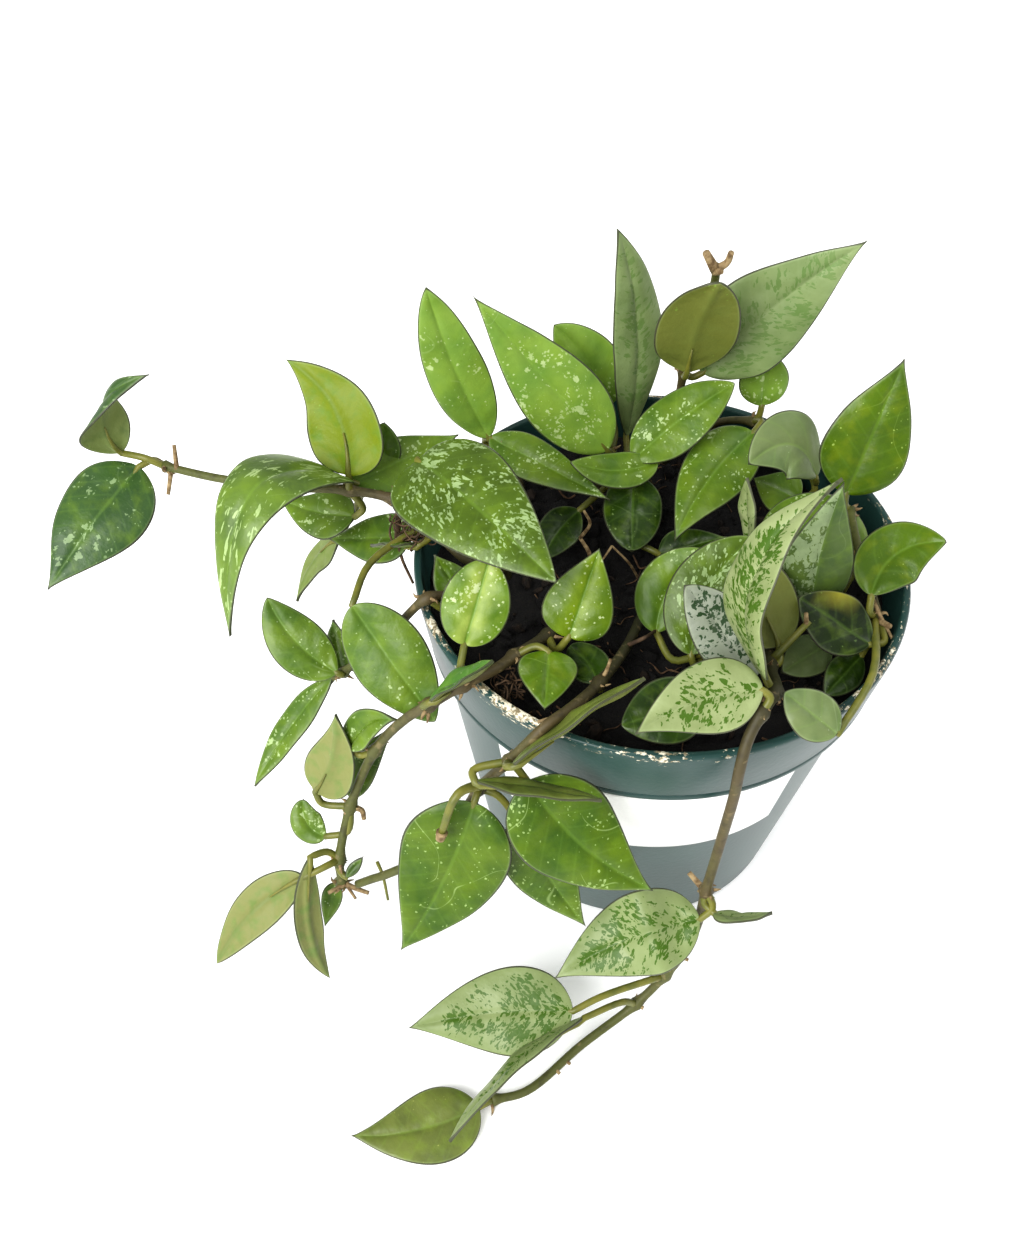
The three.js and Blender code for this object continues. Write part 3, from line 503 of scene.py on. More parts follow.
CAMERA_PLACE = (-32.437, -181.309, 285.186)
CAMERA_PITCH = 50  # degrees below the horizon
CAMERA_LENS = 34.56
CAMERA_SENSOR = 36
TABLE_REACH = 4  # metres from its middle to an edge
LIGHT_AIM = Vector((-0.02, -0.01, 0.06))  # metres
SOFT_LIGHTS = [  # name, place and size in metres, share of the key light's power
    ("softbox_front", (-0.85, -1.0, 1.15), 1.3, 1.0),
    ("softbox_side", (1.0, 0.2, 1.2), 0.9, 0.15),
]


# ------------------------------------------------------------------ small helpers


def linear(hex_colour):
    """A linear RGBA colour from an sRGB hex value."""
    parts = [int(hex_colour[i:i + 2], 16) / 255 for i in (1, 3, 5)]
    return [c / 12.92 if c <= 0.04045 else ((c + 0.055) / 1.055) ** 2.4 for c in parts] + [1.0]


def node(tree, kind, inputs=(), **settings):
    """Adds a node with its settings. An input is a value, a socket, or a node for its first output."""
    made = tree.nodes.new(kind)
    for key, value in settings.items():
        setattr(made, key, value)
    for key, value in dict(inputs).items():
        if isinstance(value, bpy.types.Node):
            value = next(socket for socket in value.outputs if socket.enabled)
        if isinstance(value, bpy.types.NodeSocket):
            tree.links.new(value, made.inputs[key])
        else:
            made.inputs[key].default_value = value
    return made


def material_with_shader(name, **sockets):
    """A new material, its node tree, and its Principled shader with the given constant sockets."""
    material = bpy.data.materials.new(name)
    material.use_nodes = True
    tree = material.node_tree
    shader = tree.nodes["Principled BSDF"]
    for key, value in sockets.items():
        shader.inputs[key.replace("_", " ")].default_value = value
    return material, tree, shader


def smooth_curve(points, steps):
    """Points along a centripetal curve through the given ones, with so many steps between each two."""
    points = [Vector(p) for p in points]
    ends = [points[0] * 2 - points[1], *points, points[-1] * 2 - points[-2]]
    curve = []
    for p0, p1, p2, p3 in zip(ends, ends[1:], ends[2:], ends[3:]):
        d0, d1, d2 = [max((b - a).length ** 0.5, 1e-4) for a, b in ((p0, p1), (p1, p2), (p2, p3))]
        m1 = (p1 - p0) / d0 - (p2 - p0) / (d0 + d1) + (p2 - p1) / d1
        m2 = (p2 - p1) / d1 - (p3 - p1) / (d1 + d2) + (p3 - p2) / d2
        for k in range(steps):
            t = k / steps
            curve.append(
                p1 * (2 * t ** 3 - 3 * t ** 2 + 1) + m1 * d1 * (t ** 3 - 2 * t ** 2 + t)
                + p2 * (3 * t ** 2 - 2 * t ** 3) + m2 * d1 * (t ** 3 - t ** 2)
            )
    return curve + [points[-1]]


def new_object(name, bm, materials=()):
    """Makes a bmesh an object of the scene, and frees it."""
    mesh = bpy.data.meshes.new(name)
    bm.to_mesh(mesh)
    bm.free()
    for material in materials:
        mesh.materials.append(material)
    made = bpy.data.objects.new(name, mesh)
    bpy.context.scene.collection.objects.link(made)
    return made


def finish_piece(name, bm, materials, node_name=None):
    """Makes a bmesh a piece that rides on the plant's body and takes its finish from a slot."""
    piece = new_object(name, bm, materials)
    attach(piece, BODY)
    if node_name:
        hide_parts(node_name)
    return piece


# ------------------------------------------------------------------ meshes moved by formula


def grid_cells(bm, columns, rows):
    """A new grid's vertices, each with its column and row number."""
    made = bmesh.ops.create_grid(bm, x_segments=columns, y_segments=rows, size=1)["verts"]
    return [(v, round((v.co.x + 1) / 2 * columns), round((v.co.y + 1) / 2 * rows)) for v in made]


def dress_faces(cells, material):
    """Gives a new grid's faces their material and smooth shading."""
    for face in {f for v, _, _ in cells for f in v.link_faces}:
        face.material_index = material
        face.smooth = True


def tube(bm, points, radii, material, sides=TUBE_SIDES, ageing=False):
    """A closed round tube along points in millimetres. Its layer for ageing and painted shade is 0 where
    older
    and 1 where younger: an ageing one gets younger along its way, and any other is all older."""
    points = [points[0], *points, points[-1]]
    radii = [0, *radii, 0]
    last = len(points) - 1
    ahead = [(points[min(k + 1, last)] - points[max(k - 1, 0)]).normalized() for k in range(last + 1)]
    ahead[0], ahead[last] = ahead[1], ahead[last - 1]
    side = ahead[0].orthogonal().normalized()
    sides_of = []
    for direction in ahead:
        side = (side - direction * side.dot(direction)).normalized()
        sides_of.append((side, direction.cross(side)))
    layer = bm.verts.layers.float.get("age_and_shade") or bm.verts.layers.float.new("age_and_shade")
    cells = grid_cells(bm, sides, last)
    dress_faces(cells, material)
    for v, i, j in cells:
        angle = 2 * math.pi * i / sides
        a, b = sides_of[j]
        v.co = (points[j] + (a * math.cos(angle) + b * math.sin(angle)) * radii[j]) * MM
        v[layer] = j / last if ageing else 0
    bmesh.ops.remove_doubles(bm, verts=[v for v, _, _ in cells], dist=1e-7)


def midrib(blade, s):
    """The point of a blade's midrib at s, from 0 at its base to 1 at its tip, and its own axes there."""
    base = Vector(blade.base)
    along = Vector(blade.tip) - base
    x = along.normalized()
    face = Vector(blade.face)
    n = (face - x * face.dot(x)).normalized()
    y = n.cross(x)
    bow = n * blade.arch + y * blade.sway
    point = base + along * s + bow * (4 * s * (1 - s))
    forward = (along + bow * (4 * (1 - 2 * s))).normalized()
    across = (y - forward * y.dot(forward)).normalized()
    across.rotate(Quaternion(forward, math.radians(blade.twist) * s))
    return point, across, forward.cross(across)


def blade_half(blade, s):
    """Half of a blade's width at s along it."""
    rise, taper = FORMS[blade.form]
    widest = rise / (rise + taper)
    peak = widest ** rise * (1 - widest) ** taper
    return blade.wide / 2 * s ** rise * (1 - s) ** taper / peak


def blade_point(blade, s, t, dice):
    """A point of a blade's middle surface, with the midrib's groove, the swell between veins and a wave,
    and its distances in millimetres from the midrib, from the base and from the edge."""
    point, across, up = midrib(blade, s)
    half = blade_half(blade, s)
    fold = math.radians(blade.fold)
    length = (Vector(blade.tip) - Vector(blade.base)).length
    u = half * t
    lift = half * (abs(t) * math.sin(fold) - blade.cup * t * t)
    lift -= GROOVE_DEPTH * math.exp(-(u / GROOVE_WIDTH) ** 2) * min(1, half / GROOVE_FROM)
    full = min(1, half / RELIEF_FROM)
    veins = 2 * math.pi * (length * s - VEIN_SLANT * abs(u)) / VEIN_SPACING + dice.veins
    lift += VEIN_RELIEF * math.cos(veins) * 4 * abs(t) * (1 - abs(t)) * full
    turn = 2 * math.pi * (dice.waves * s + (dice.left if t < 0 else dice.right))
    lift += EDGE_WAVE * half * t * t * math.sin(turn)
    if blade.crest:
        at, height = blade.crest
        lift += height * full * math.exp(-((s - at) / CREST_SPREAD) ** 2)
    lift += LUMP * full * noise.noise(Vector((u * LUMP_RATE, length * s * LUMP_RATE, dice.seed)))
    return point + across * (u * math.cos(fold)) + up * lift, u, length * s, half * (1 - abs(t))


def leaf_blade(bm, blade, material, dice):
    """Adds one blade as a sheet whose upper side faces up, with its own place on every vertex."""
    place = bm.verts.layers.float_vector.get("blade_mm") or bm.verts.layers.float_vector.new("blade_mm")
    seeds = bm.verts.layers.float.get("leaf_seed") or bm.verts.layers.float.new("leaf_seed")
    weights = bm.verts.layers.deform.verify()
    cells = grid_cells(bm, BLADE_COLUMNS, BLADE_ROWS)
    dress_faces(cells, material)
    for v, i, j in cells:
        s = (1 - math.cos(math.pi * j / BLADE_ROWS)) / 2
        flat = 1 - 2 * i / BLADE_COLUMNS
        t = math.copysign(abs(flat) ** COLUMN_CROWDING, flat)
        point, u, along, edge = blade_point(blade, s, t, dice)
        v.co = point * MM
        v[place] = Vector((u, along, edge))
        v[seeds] = dice.seed
        v[weights][0] = 1 - EDGE_THINNING * abs(t) ** 3
    bmesh.ops.remove_doubles(bm, verts=[v for v, _, _ in cells], dist=1e-7)


def stalk_points(blade, start):
    """A leaf stalk's way from inside the stem to under the foot of the blade's midrib."""
    base, _, up = midrib(blade, 0)
    forward = (midrib(blade, 0.1)[0] - base).normalized()
    reach = (start - base).length
    bend = Vector(blade.via) if blade.via else (base - forward * (reach / 2)).lerp(start, STALK_BEND)
    way = smooth_curve([start, bend, base - up * STALK_SINK], 5)
    ribs = [midrib(blade, s) for s, _ in RIB]
    return way + [point - rise * RIB_DROP for point, _, rise in ribs]


# ------------------------------------------------------------------ materials


def fleck_layer(tree, place, cell, cover, crowd, pull, ragged, most):
    """How strong one layer of flecks is at each point: ragged cells of a size in millimetres, which grow
    and are more where they crowd, as far as the crowd pulls on them."""
    cells = node(tree, "ShaderNodeTexVoronoi", {"Vector": place, "Scale": 1 / cell})
    chance = node(tree, "ShaderNodeSeparateColor", {0: cells.outputs["Color"]}).outputs[0]
    chance = node(tree, "ShaderNodeMath", {0: crowd, 1: pull, 2: chance}, operation="MULTIPLY_ADD")
    size = node(tree, "ShaderNodeMath", {0: chance, 1: cover - 1 - FLECK_DRIFT * pull / 2}, operation="ADD",
                use_clamp=True)
    size = node(tree, "ShaderNodeMath", {0: size, 1: FLECK_GROWTH}, operation="MULTIPLY")
    far = node(tree, "ShaderNodeMath", {0: cells.outputs["Distance"], 1: ragged}, operation="MULTIPLY")
    within = node(tree, "ShaderNodeMath", {0: size, 1: far}, operation="SUBTRACT")
    return node(tree, "ShaderNodeMapRange", {0: within, 1: 0.0, 2: 0.08, 4: most})


def leaf_cuticle(name, look, side):
    """Waxy leaf skin: a smooth cuticle over green tissue, with faint veins and flecks of trapped air."""
    material, tree, shader = material_with_shader(name, IOR=1.36)
    place = node(tree, "ShaderNodeAttribute", attribute_name="blade_mm").outputs["Vector"]
    seed = node(tree, "ShaderNodeAttribute", attribute_name="leaf_seed").outputs["Fac"]
    split = node(tree, "ShaderNodeSeparateXYZ", {0: place}).outputs
    edge = split["Z"]
    reach = node(tree, "ShaderNodeMath", {0: split["X"]}, operation="ABSOLUTE")
    half = node(tree, "ShaderNodeMath", {0: split["X"]}, operation="SIGN")
    flat = node(tree, "ShaderNodeCombineXYZ", {0: split["X"], 1: split["Y"], 2: seed})

    # The grain of the flecks: each half of the blade on its own, drawn out and leaning from the midrib.
    lean = math.radians(look.lean)
    aside = node(tree, "ShaderNodeMath", {0: reach, 1: math.cos(lean)}, operation="MULTIPLY")
    aside = node(tree, "ShaderNodeMath", {0: split["Y"], 1: -math.sin(lean), 2: aside},
                 operation="MULTIPLY_ADD")
    ahead = node(tree, "ShaderNodeMath", {0: reach, 1: math.sin(lean) * look.stretch}, operation="MULTIPLY")
    ahead = node(tree, "ShaderNodeMath", {0: split["Y"], 1: math.cos(lean) * look.stretch, 2: ahead},
                 operation="MULTIPLY_ADD")
    depth = node(tree, "ShaderNodeMath", {0: half, 1: 5.0, 2: seed}, operation="MULTIPLY_ADD")
    grain = node(tree, "ShaderNodeCombineXYZ", {0: aside, 1: ahead, 2: depth})

    # The green: two tones in drifts, warmer blotches, and paler tissue beside the midrib of a young leaf.
    tone = node(tree, "ShaderNodeTexNoise", {"Vector": flat, "Scale": LEAF_TONES, "Detail": 3.0})
    shaded = node(tree, "ShaderNodeMapRange", {0: tone, 1: 0.35, 2: 0.66})
    blotch = node(tree, "ShaderNodeTexNoise", {"Vector": flat, "Scale": LEAF_BLOTCHES, "Detail": 3.0})
    warmed = node(tree, "ShaderNodeMapRange", {0: blotch, 1: 0.48, 2: 0.72, 3: 0.0, 4: side.warmth})
    beside = node(tree, "ShaderNodeMapRange", {0: reach, 1: 4.5, 2: 1.0, 3: 0.0, 4: side.halo},
                  interpolation_type="SMOOTHSTEP")
    beside = node(tree, "ShaderNodeMath", {0: beside, 1: blotch}, operation="MULTIPLY")

    # The veins: a line along the midrib and finer ones that slant out from it.
    back = node(tree, "ShaderNodeMath", {0: reach, 1: -VEIN_SLANT, 2: split["Y"]}, operation="MULTIPLY_ADD")
    cell = node(tree, "ShaderNodeMath", {0: back, 1: VEIN_SPACING / 2}, operation="PINGPONG")
    veins = node(tree, "ShaderNodeMapRange", {0: cell, 1: 0.0, 2: 0.5, 3: side.veined, 4: 0.0},
                 interpolation_type="SMOOTHSTEP")
    rib = node(tree, "ShaderNodeMapRange", {0: reach, 1: 0.1, 2: 0.7, 3: side.ribbed, 4: 0.0},
               interpolation_type="SMOOTHSTEP")
    lines = node(tree, "ShaderNodeMath", {0: veins, 1: rib}, operation="MAXIMUM")

    # The flecks: coarse ones along the grain, and fine round dots between them.
    drift = node(tree, "ShaderNodeTexNoise", {"Vector": flat, "Scale": FLECK_CROWDS, "Detail": 2.0})
    inner = node(tree, "ShaderNodeMapRange", {0: edge, 1: 0.5, 2: 4.5, 3: -look.centred, 4: look.centred})
    crowd = node(tree, "ShaderNodeMath", {0: drift, 1: FLECK_DRIFT, 2: inner}, operation="MULTIPLY_ADD")
    crowd = node(tree, "ShaderNodeMath", {0: half, 1: look.halved, 2: crowd}, operation="MULTIPLY_ADD")
    warp = node(tree, "ShaderNodeTexNoise", {"Vector": grain, "Scale": FLECK_BENDS, "Detail": 3.0})
    bent = node(tree, "ShaderNodeVectorMath", {0: warp.outputs["Color"], 1: (1.8, 1.8, 0.0), 2: grain},
                operation="MULTIPLY_ADD")
    ragged = node(tree, "ShaderNodeTexNoise", {"Vector": grain, "Scale": FLECK_RAGS, "Detail": 2.0})
    ragged = node(tree, "ShaderNodeMapRange", {0: ragged, 1: 0.3, 2: 0.7, 3: 0.55, 4: 1.6})
    coarse = fleck_layer(tree, bent, look.cell, side.coarse, crowd, 1.0, ragged, 1.0)
    fine = fleck_layer(tree, flat, DOT_CELL, side.fine, crowd, 0.5, ragged, 0.8)
    flecks = node(tree, "ShaderNodeMath", {0: coarse, 1: fine}, operation="MAXIMUM")
    strength = node(tree, "ShaderNodeMapRange", {0: blotch, 1: 0.35, 2: 0.65, 3: look.bold - FLECK_CHANGE,
                                                 4: look.bold + FLECK_CHANGE})
    flecked = node(tree, "ShaderNodeMath", {0: flecks, 1: strength}, operation="MULTIPLY")

    # Scars: long thin pale scratches, broken up.
    scar = node(tree, "ShaderNodeTexNoise",
                {"Vector": flat, "Scale": LEAF_SCARS, "Detail": 1.0, "Distortion": 0.3})
    scar = node(tree, "ShaderNodeMath", {0: scar, 1: 0.5}, operation="SUBTRACT")
    scar = node(tree, "ShaderNodeMath", {0: scar}, operation="ABSOLUTE")
    scar = node(tree, "ShaderNodeMapRange", {0: scar, 1: 0.0005, 2: 0.004, 3: side.scars, 4: 0.0})
    broken = node(tree, "ShaderNodeMapRange", {0: drift, 1: 0.45, 2: 0.55})
    scar = node(tree, "ShaderNodeMath", {0: scar, 1: broken}, operation="MULTIPLY")

    # The edge: a dried yellow patch on one side of a scorched leaf, then a painted highlight as a pale line,
    # and the dark margin.
    burnt = node(tree, "ShaderNodeMapRange", {0: edge, 1: 0.3, 2: 5.0, 3: -side.scorch, 4: 0.0})
    burnt = node(tree, "ShaderNodeMath", {0: burnt, 1: half}, operation="MULTIPLY", use_clamp=True)
    off = node(tree, "ShaderNodeMath", {0: split["Y"], 1: SCORCH_PLACE}, operation="SUBTRACT")
    off = node(tree, "ShaderNodeMath", {0: off}, operation="ABSOLUTE")
    patch = node(tree, "ShaderNodeMapRange", {0: off, 1: SCORCH_SPREAD, 2: 0.0})
    burnt = node(tree, "ShaderNodeMath", {0: burnt, 1: patch}, operation="MULTIPLY")
    # Painted highlight: a pale line just inside the dark margin, where the edge catches the light.
    pale = node(tree, "ShaderNodeMapRange", {0: edge, 1: 0.35, 2: 0.8, 3: 0.15, 4: 0.0})
    rim = node(tree, "ShaderNodeMapRange", {0: edge, 1: 0.1, 2: 0.38, 3: 0.85, 4: 0.0},
               interpolation_type="SMOOTHSTEP")

    # The colours go on over the ground one after another, each as far as its share.
    colour = linear(side.ground)
    for share, tint in [(shaded, side.shade), (warmed, side.warm), (beside, side.warm), (lines, side.vein),
                        (flecked, side.fleck), (scar, side.fleck), (burnt, SCORCHED), (pale, EDGE_HIGHLIGHT),
                        (rim, look.margin)]:
        colour = node(tree, "ShaderNodeMix", {0: share, 6: colour, 7: linear(tint)}, data_type="RGBA")
    tree.links.new(colour.outputs[2], shader.inputs["Base Color"])

    rough = node(tree, "ShaderNodeMapRange",
                 {0: tone, 1: 0.3, 2: 0.7, 3: side.gloss - 0.05, 4: side.gloss + 0.1})
    tree.links.new(rough.outputs[0], shader.inputs["Roughness"])
    skin = node(tree, "ShaderNodeTexNoise", {"Vector": flat, "Scale": LEAF_SKIN, "Detail": 3.0})
    height = node(tree, "ShaderNodeMath", {0: lines, 1: -0.3, 2: skin}, operation="MULTIPLY_ADD")
    bump = node(tree, "ShaderNodeBump", {"Strength": 0.5, "Distance": 0.25 * MM, "Height": height})
    tree.links.new(bump.outputs[0], shader.inputs["Normal"])
    return material


def leaf_materials(name, look):
    """The two sides of a leaf: a glossy speckled face and a paler, duller back."""
    lower = SimpleNamespace(ground=look.under, shade=look.under, warm=look.ground, warmth=0.5,
                            vein=look.shade, veined=0.06, ribbed=0.25, fleck=look.vein, fine=0.1,
                            coarse=-1.0, halo=0.0, scorch=0.0, scars=0.0, gloss=look.gloss + 0.14)
    return [leaf_cuticle(f"waxy_leaf_face_{name}", look, look),
            leaf_cuticle(f"waxy_leaf_back_{name}", look, lower)]


def stem_bark():
    """Young stems are olive and smooth; older ones turn brown and corky, with pale pores. Low down, where a
    stem stands in the pot, painted shade darkens it.
    """
    material, tree, shader = material_with_shader("stem_bark", Roughness=0.6, IOR=1.45)
    age_and_shade = node(tree, "ShaderNodeAttribute", attribute_name="age_and_shade").outputs["Fac"]
    where = node(tree, "ShaderNodeTexCoord").outputs["Object"]
    streaks = node(tree, "ShaderNodeTexNoise", {"Vector": where, "Scale": BARK_STREAKS / MM, "Detail": 4.0})
    patches = node(tree, "ShaderNodeTexNoise", {"Vector": where, "Scale": BARK_PATCHES / MM, "Detail": 2.0})
    young = node(tree, "ShaderNodeMath", {0: patches, 1: 0.6, 2: age_and_shade}, operation="MULTIPLY_ADD")
    greened = node(tree, "ShaderNodeMapRange", {0: young, 1: 0.75, 2: 1.15})
    # Painted shade: the low part of each stem, down in the pot, is darkened.
    pot_shade_mask = node(tree, "ShaderNodeMapRange", {0: age_and_shade, 1: 0.2, 2: 0.45, 3: 0.85, 4: 0.0})
    fissures = node(tree, "ShaderNodeMapRange", {0: streaks, 1: 0.3, 2: 0.46, 3: 0.5, 4: 0.0})
    pores = node(tree, "ShaderNodeMapRange", {0: streaks, 1: 0.6, 2: 0.7, 3: 0.0, 4: 0.5})
    colour = linear("#4e4329")
    # The dark #292c12 is painted shade inside the pot, not bark.
    for share, tint in [(greened, "#4d5124"), (pot_shade_mask, "#292c12"), (fissures, "#2a2415"), (pores, "#857654")]:
        colour = node(tree, "ShaderNodeMix", {0: share, 6: colour, 7: linear(tint)}, data_type="RGBA")
    tree.links.new(colour.outputs[2], shader.inputs["Base Color"])
    bump = node(tree, "ShaderNodeBump", {"Strength": 0.6, "Distance": 0.3 * MM, "Height": streaks})
    tree.links.new(bump.outputs[0], shader.inputs["Normal"])
    return material


def plain_growth(name, first, second, mottles, rough):
    """Plant tissue of two mottled tones, such as a fleshy stalk, a dry husk or a root. Mottles is how many
    patches lie along a millimetre."""
    material, tree, shader = material_with_shader(name, Roughness=rough, IOR=1.45)
    where = node(tree, "ShaderNodeTexCoord").outputs["Object"]
    mottle = node(tree, "ShaderNodeTexNoise", {"Vector": where, "Scale": mottles / MM, "Detail": 4.0})
    share = node(tree, "ShaderNodeMapRange", {0: mottle, 1: 0.38, 2: 0.64})
    colour = node(tree, "ShaderNodeMix", {0: share, 6: linear(first), 7: linear(second)}, data_type="RGBA")
    tree.links.new(colour.outputs[2], shader.inputs["Base Color"])
    bump = node(tree, "ShaderNodeBump", {"Strength": 0.5, "Distance": 0.2 * MM, "Height": mottle})
    tree.links.new(bump.outputs[0], shader.inputs["Normal"])
    return material


def pot_polypropylene(colour, salt):
    """Moulded polypropylene: a soft sheen, with flaky mineral salts from hard water along its rim."""
    material, tree, shader = material_with_shader(
        "moulded_polypropylene", IOR=1.49, Specular_IOR_Level=0.3, Coat_Weight=0.05, Coat_Roughness=0.3)
    where = node(tree, "ShaderNodeTexCoord").outputs["Object"]
    split = node(tree, "ShaderNodeSeparateXYZ", {0: where}).outputs
    flat = node(tree, "ShaderNodeCombineXYZ", {0: split["X"], 1: split["Y"]})
    radius = node(tree, "ShaderNodeVectorMath", {0: flat}, operation="LENGTH").outputs["Value"]
    cloud = node(tree, "ShaderNodeTexNoise", {"Vector": where, "Scale": POT_CLOUDS / MM, "Detail": 3.0})
    cloud = node(tree, "ShaderNodeMapRange", {0: cloud, 1: 0.3, 2: 0.75})
    lighter = [c * 1.35 for c in colour[:3]] + [1.0]
    shade = node(tree, "ShaderNodeMix", {0: cloud, 6: colour, 7: lighter}, data_type="RGBA")

    # The salts gather in named drifts along the top edge, in flakes that run a little round it.
    turn = node(tree, "ShaderNodeMath", {0: split["Y"], 1: split["X"]}, operation="ARCTAN2")
    drifts = node(tree, "ShaderNodeTexNoise", {"Vector": where, "Scale": SALT_CLOUDS / MM, "Detail": 2.0})
    amount = node(tree, "ShaderNodeMath", {0: drifts, 1: 0.55}, operation="MULTIPLY")
    for azimuth, spread, share in SALT_DRIFTS:
        off = node(tree, "ShaderNodeMath", {0: turn, 1: math.radians(azimuth)}, operation="SUBTRACT")
        off = node(tree, "ShaderNodeMath", {0: off}, operation="ABSOLUTE")
        near = node(tree, "ShaderNodeMapRange", {0: off, 1: math.radians(spread), 2: 0.0, 3: 0.0, 4: share},
                    interpolation_type="SMOOTHSTEP")
        amount = node(tree, "ShaderNodeMath", {0: amount, 1: near}, operation="ADD")
    round_rim = node(tree, "ShaderNodeMath", {0: turn, 1: 0.5 * RIM_RADIUS * MM}, operation="MULTIPLY")
    squeezed = node(tree, "ShaderNodeCombineXYZ", {0: round_rim, 1: radius, 2: split["Z"]})
    flakes = node(tree, "ShaderNodeTexNoise",
                  {"Vector": squeezed, "Scale": SALT_FLAKES / MM, "Detail": 6.0, "Roughness": 0.75})
    near_top = node(tree, "ShaderNodeMapRange",
                    {0: split["Z"], 1: (POT_HEIGHT - SALT_REACH) * MM, 2: (POT_HEIGHT - 0.3) * MM})
    outer = node(tree, "ShaderNodeMapRange",
                 {0: radius, 1: (RIM_RADIUS - WALL - 0.9) * MM, 2: (RIM_RADIUS - WALL) * MM})
    amount = node(tree, "ShaderNodeMath", {0: flakes, 1: amount}, operation="ADD")
    lifted = node(tree, "ShaderNodeMath", {0: near_top, 1: 0.25, 2: amount}, operation="MULTIPLY_ADD")
    salted = node(tree, "ShaderNodeMapRange", {0: lifted, 1: 1.17, 2: 1.20})
    for limit in (outer, near_top):
        salted = node(tree, "ShaderNodeMath", {0: salted, 1: limit}, operation="MULTIPLY")
    salted = node(tree, "ShaderNodeMath", {0: salted, 1: 6.0}, operation="MULTIPLY", use_clamp=True)
    stained = node(tree, "ShaderNodeTexNoise", {"Vector": where, "Scale": SALT_STAINS / MM, "Detail": 3.0})
    stained = node(tree, "ShaderNodeMapRange", {0: stained, 1: 0.42, 2: 0.58})
    crust = node(tree, "ShaderNodeMix", {0: stained, 6: salt, 7: linear("#7d7259")}, data_type="RGBA")
    finish = node(tree, "ShaderNodeMix", {0: salted, 6: shade, 7: crust}, data_type="RGBA")
    tree.links.new(finish.outputs[2], shader.inputs["Base Color"])
    rough = node(tree, "ShaderNodeMapRange", {0: salted, 3: 0.34, 4: 0.9})
    tree.links.new(rough.outputs[0], shader.inputs["Roughness"])
    grain = node(tree, "ShaderNodeTexNoise", {"Vector": where, "Scale": POT_GRAIN / MM, "Detail": 2.0})
    height = node(tree, "ShaderNodeMath", {0: salted, 1: 1.5, 2: grain}, operation="MULTIPLY_ADD")
    bump = node(tree, "ShaderNodeBump", {"Strength": 0.2, "Distance": 0.2 * MM, "Height": height})
    tree.links.new(bump.outputs[0], shader.inputs["Normal"])
    return material


def coated_paper():
    """A blank paper sticker: a matt coating with the faintest grain."""
    material, tree, shader = material_with_shader("coated_paper", Roughness=0.55)
    where = node(tree, "ShaderNodeTexCoord").outputs["Object"]
    fibre = node(tree, "ShaderNodeTexNoise", {"Vector": where, "Scale": PAPER_FIBRES / MM, "Detail": 3.0})
    colour = node(tree, "ShaderNodeMix", {0: fibre, 6: linear("#f4f4f2"), 7: linear("#e9e9e6")},
                  data_type="RGBA")
    tree.links.new(colour.outputs[2], shader.inputs["Base Color"])
    bump = node(tree, "ShaderNodeBump", {"Strength": 0.1, "Distance": 0.05 * MM, "Height": fibre})
    tree.links.new(bump.outputs[0], shader.inputs["Normal"])
    return material


# ------------------------------------------------------------------ pot, soil and label


def wall_radius(height):
    """The wall's outer radius under the band."""
    return FOOT_RADIUS + (WALL_RADIUS - FOOT_RADIUS) * height / BAND_BOTTOM


def pot_profile():
    """The pot's outline from the middle of its base, out and up the wall, over the rim and down inside."""
    band = WALL_RADIUS + BAND_STEP
    low = FOOT_RADIUS - FOOT_RING
    rim_inside = RIM_RADIUS - WALL
    foot_inside = wall_radius(FLOOR_TOP) - WALL
    outside = [
        (0, 0), (PAD_RADIUS, 0), (PAD_RADIUS + FLOOR_RECESS, FLOOR_RECESS),
        (low - 2 * FLOOR_RECESS, FLOOR_RECESS), (low - FLOOR_RECESS, 0), (FOOT_RADIUS - FLOOR_RECESS, 0),
        (wall_radius(FLOOR_RECESS), FLOOR_RECESS), (WALL_RADIUS, BAND_BOTTOM - 1), (band, BAND_BOTTOM),
        *[(band + out, BAND_BOTTOM + up) for out, up in BAND_RIDGES],
        *[(RIM_RADIUS + out, POT_HEIGHT + up) for out, up in RIM_OUTSIDE],
    ]
    inside = [
        *[(rim_inside + out, POT_HEIGHT + up) for out, up in RIM_INSIDE],
        (band - WALL, BAND_BOTTOM + WALL), (WALL_RADIUS - WALL, BAND_BOTTOM - 2),
        (foot_inside, FLOOR_TOP + 1), (foot_inside - 1, FLOOR_TOP), (0, FLOOR_TOP),
    ]
    return outside + inside


def soil_height(x, y):
    """The soil's surface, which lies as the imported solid's does, with crumbs on it."""
    broad = math.sin(0.21 * x + 0.6) * math.cos(0.18 * y - 0.4)
    fine = math.sin(0.61 * x - 0.43 * y) * math.cos(0.52 * y + 0.37 * x + 1)
    crumb = sum(share * noise.noise(Vector((x * rate, y * rate, z))) for rate, share, z in SOIL_NOISE)
    return SOIL_TOP + SOIL_LUMP * (broad + fine) + SOIL_CRUMBLE * crumb


# ------------------------------------------------------------------ settings


class HoyaPotSettings(bpy.types.PropertyGroup):
    colour: bpy.props.FloatVectorProperty(
        name="Pot colour", description="The plastic's own colour", subtype="COLOR", size=4,
        min=0, max=1, default=linear("#223c38"))
    salt: bpy.props.FloatVectorProperty(
        name="Salt colour", description="The dried minerals on the rim", subtype="COLOR", size=4,
        min=0, max=1, default=linear("#d9d2bd"))
    edge: bpy.props.FloatProperty(
        name="Edge rounding", description="How far the moulding's corners are rounded",
        default=0.25 * MM, min=0, unit="LENGTH")


class HoyaLeafSettings(bpy.types.PropertyGroup):
    thickness: bpy.props.FloatProperty(
        name="Leaf thickness", description="At the midrib; the edges are thinner",
        default=0.8 * MM, min=0.2 * MM, unit="LENGTH")
    levels: bpy.props.IntProperty(
        name="Rounding", description="Subdivision levels of the leaves", default=1, min=0, max=2)
    seed: bpy.props.IntProperty(
        name="Seed", description="Starts the random draws of each leaf's flecks and waves", default=4)


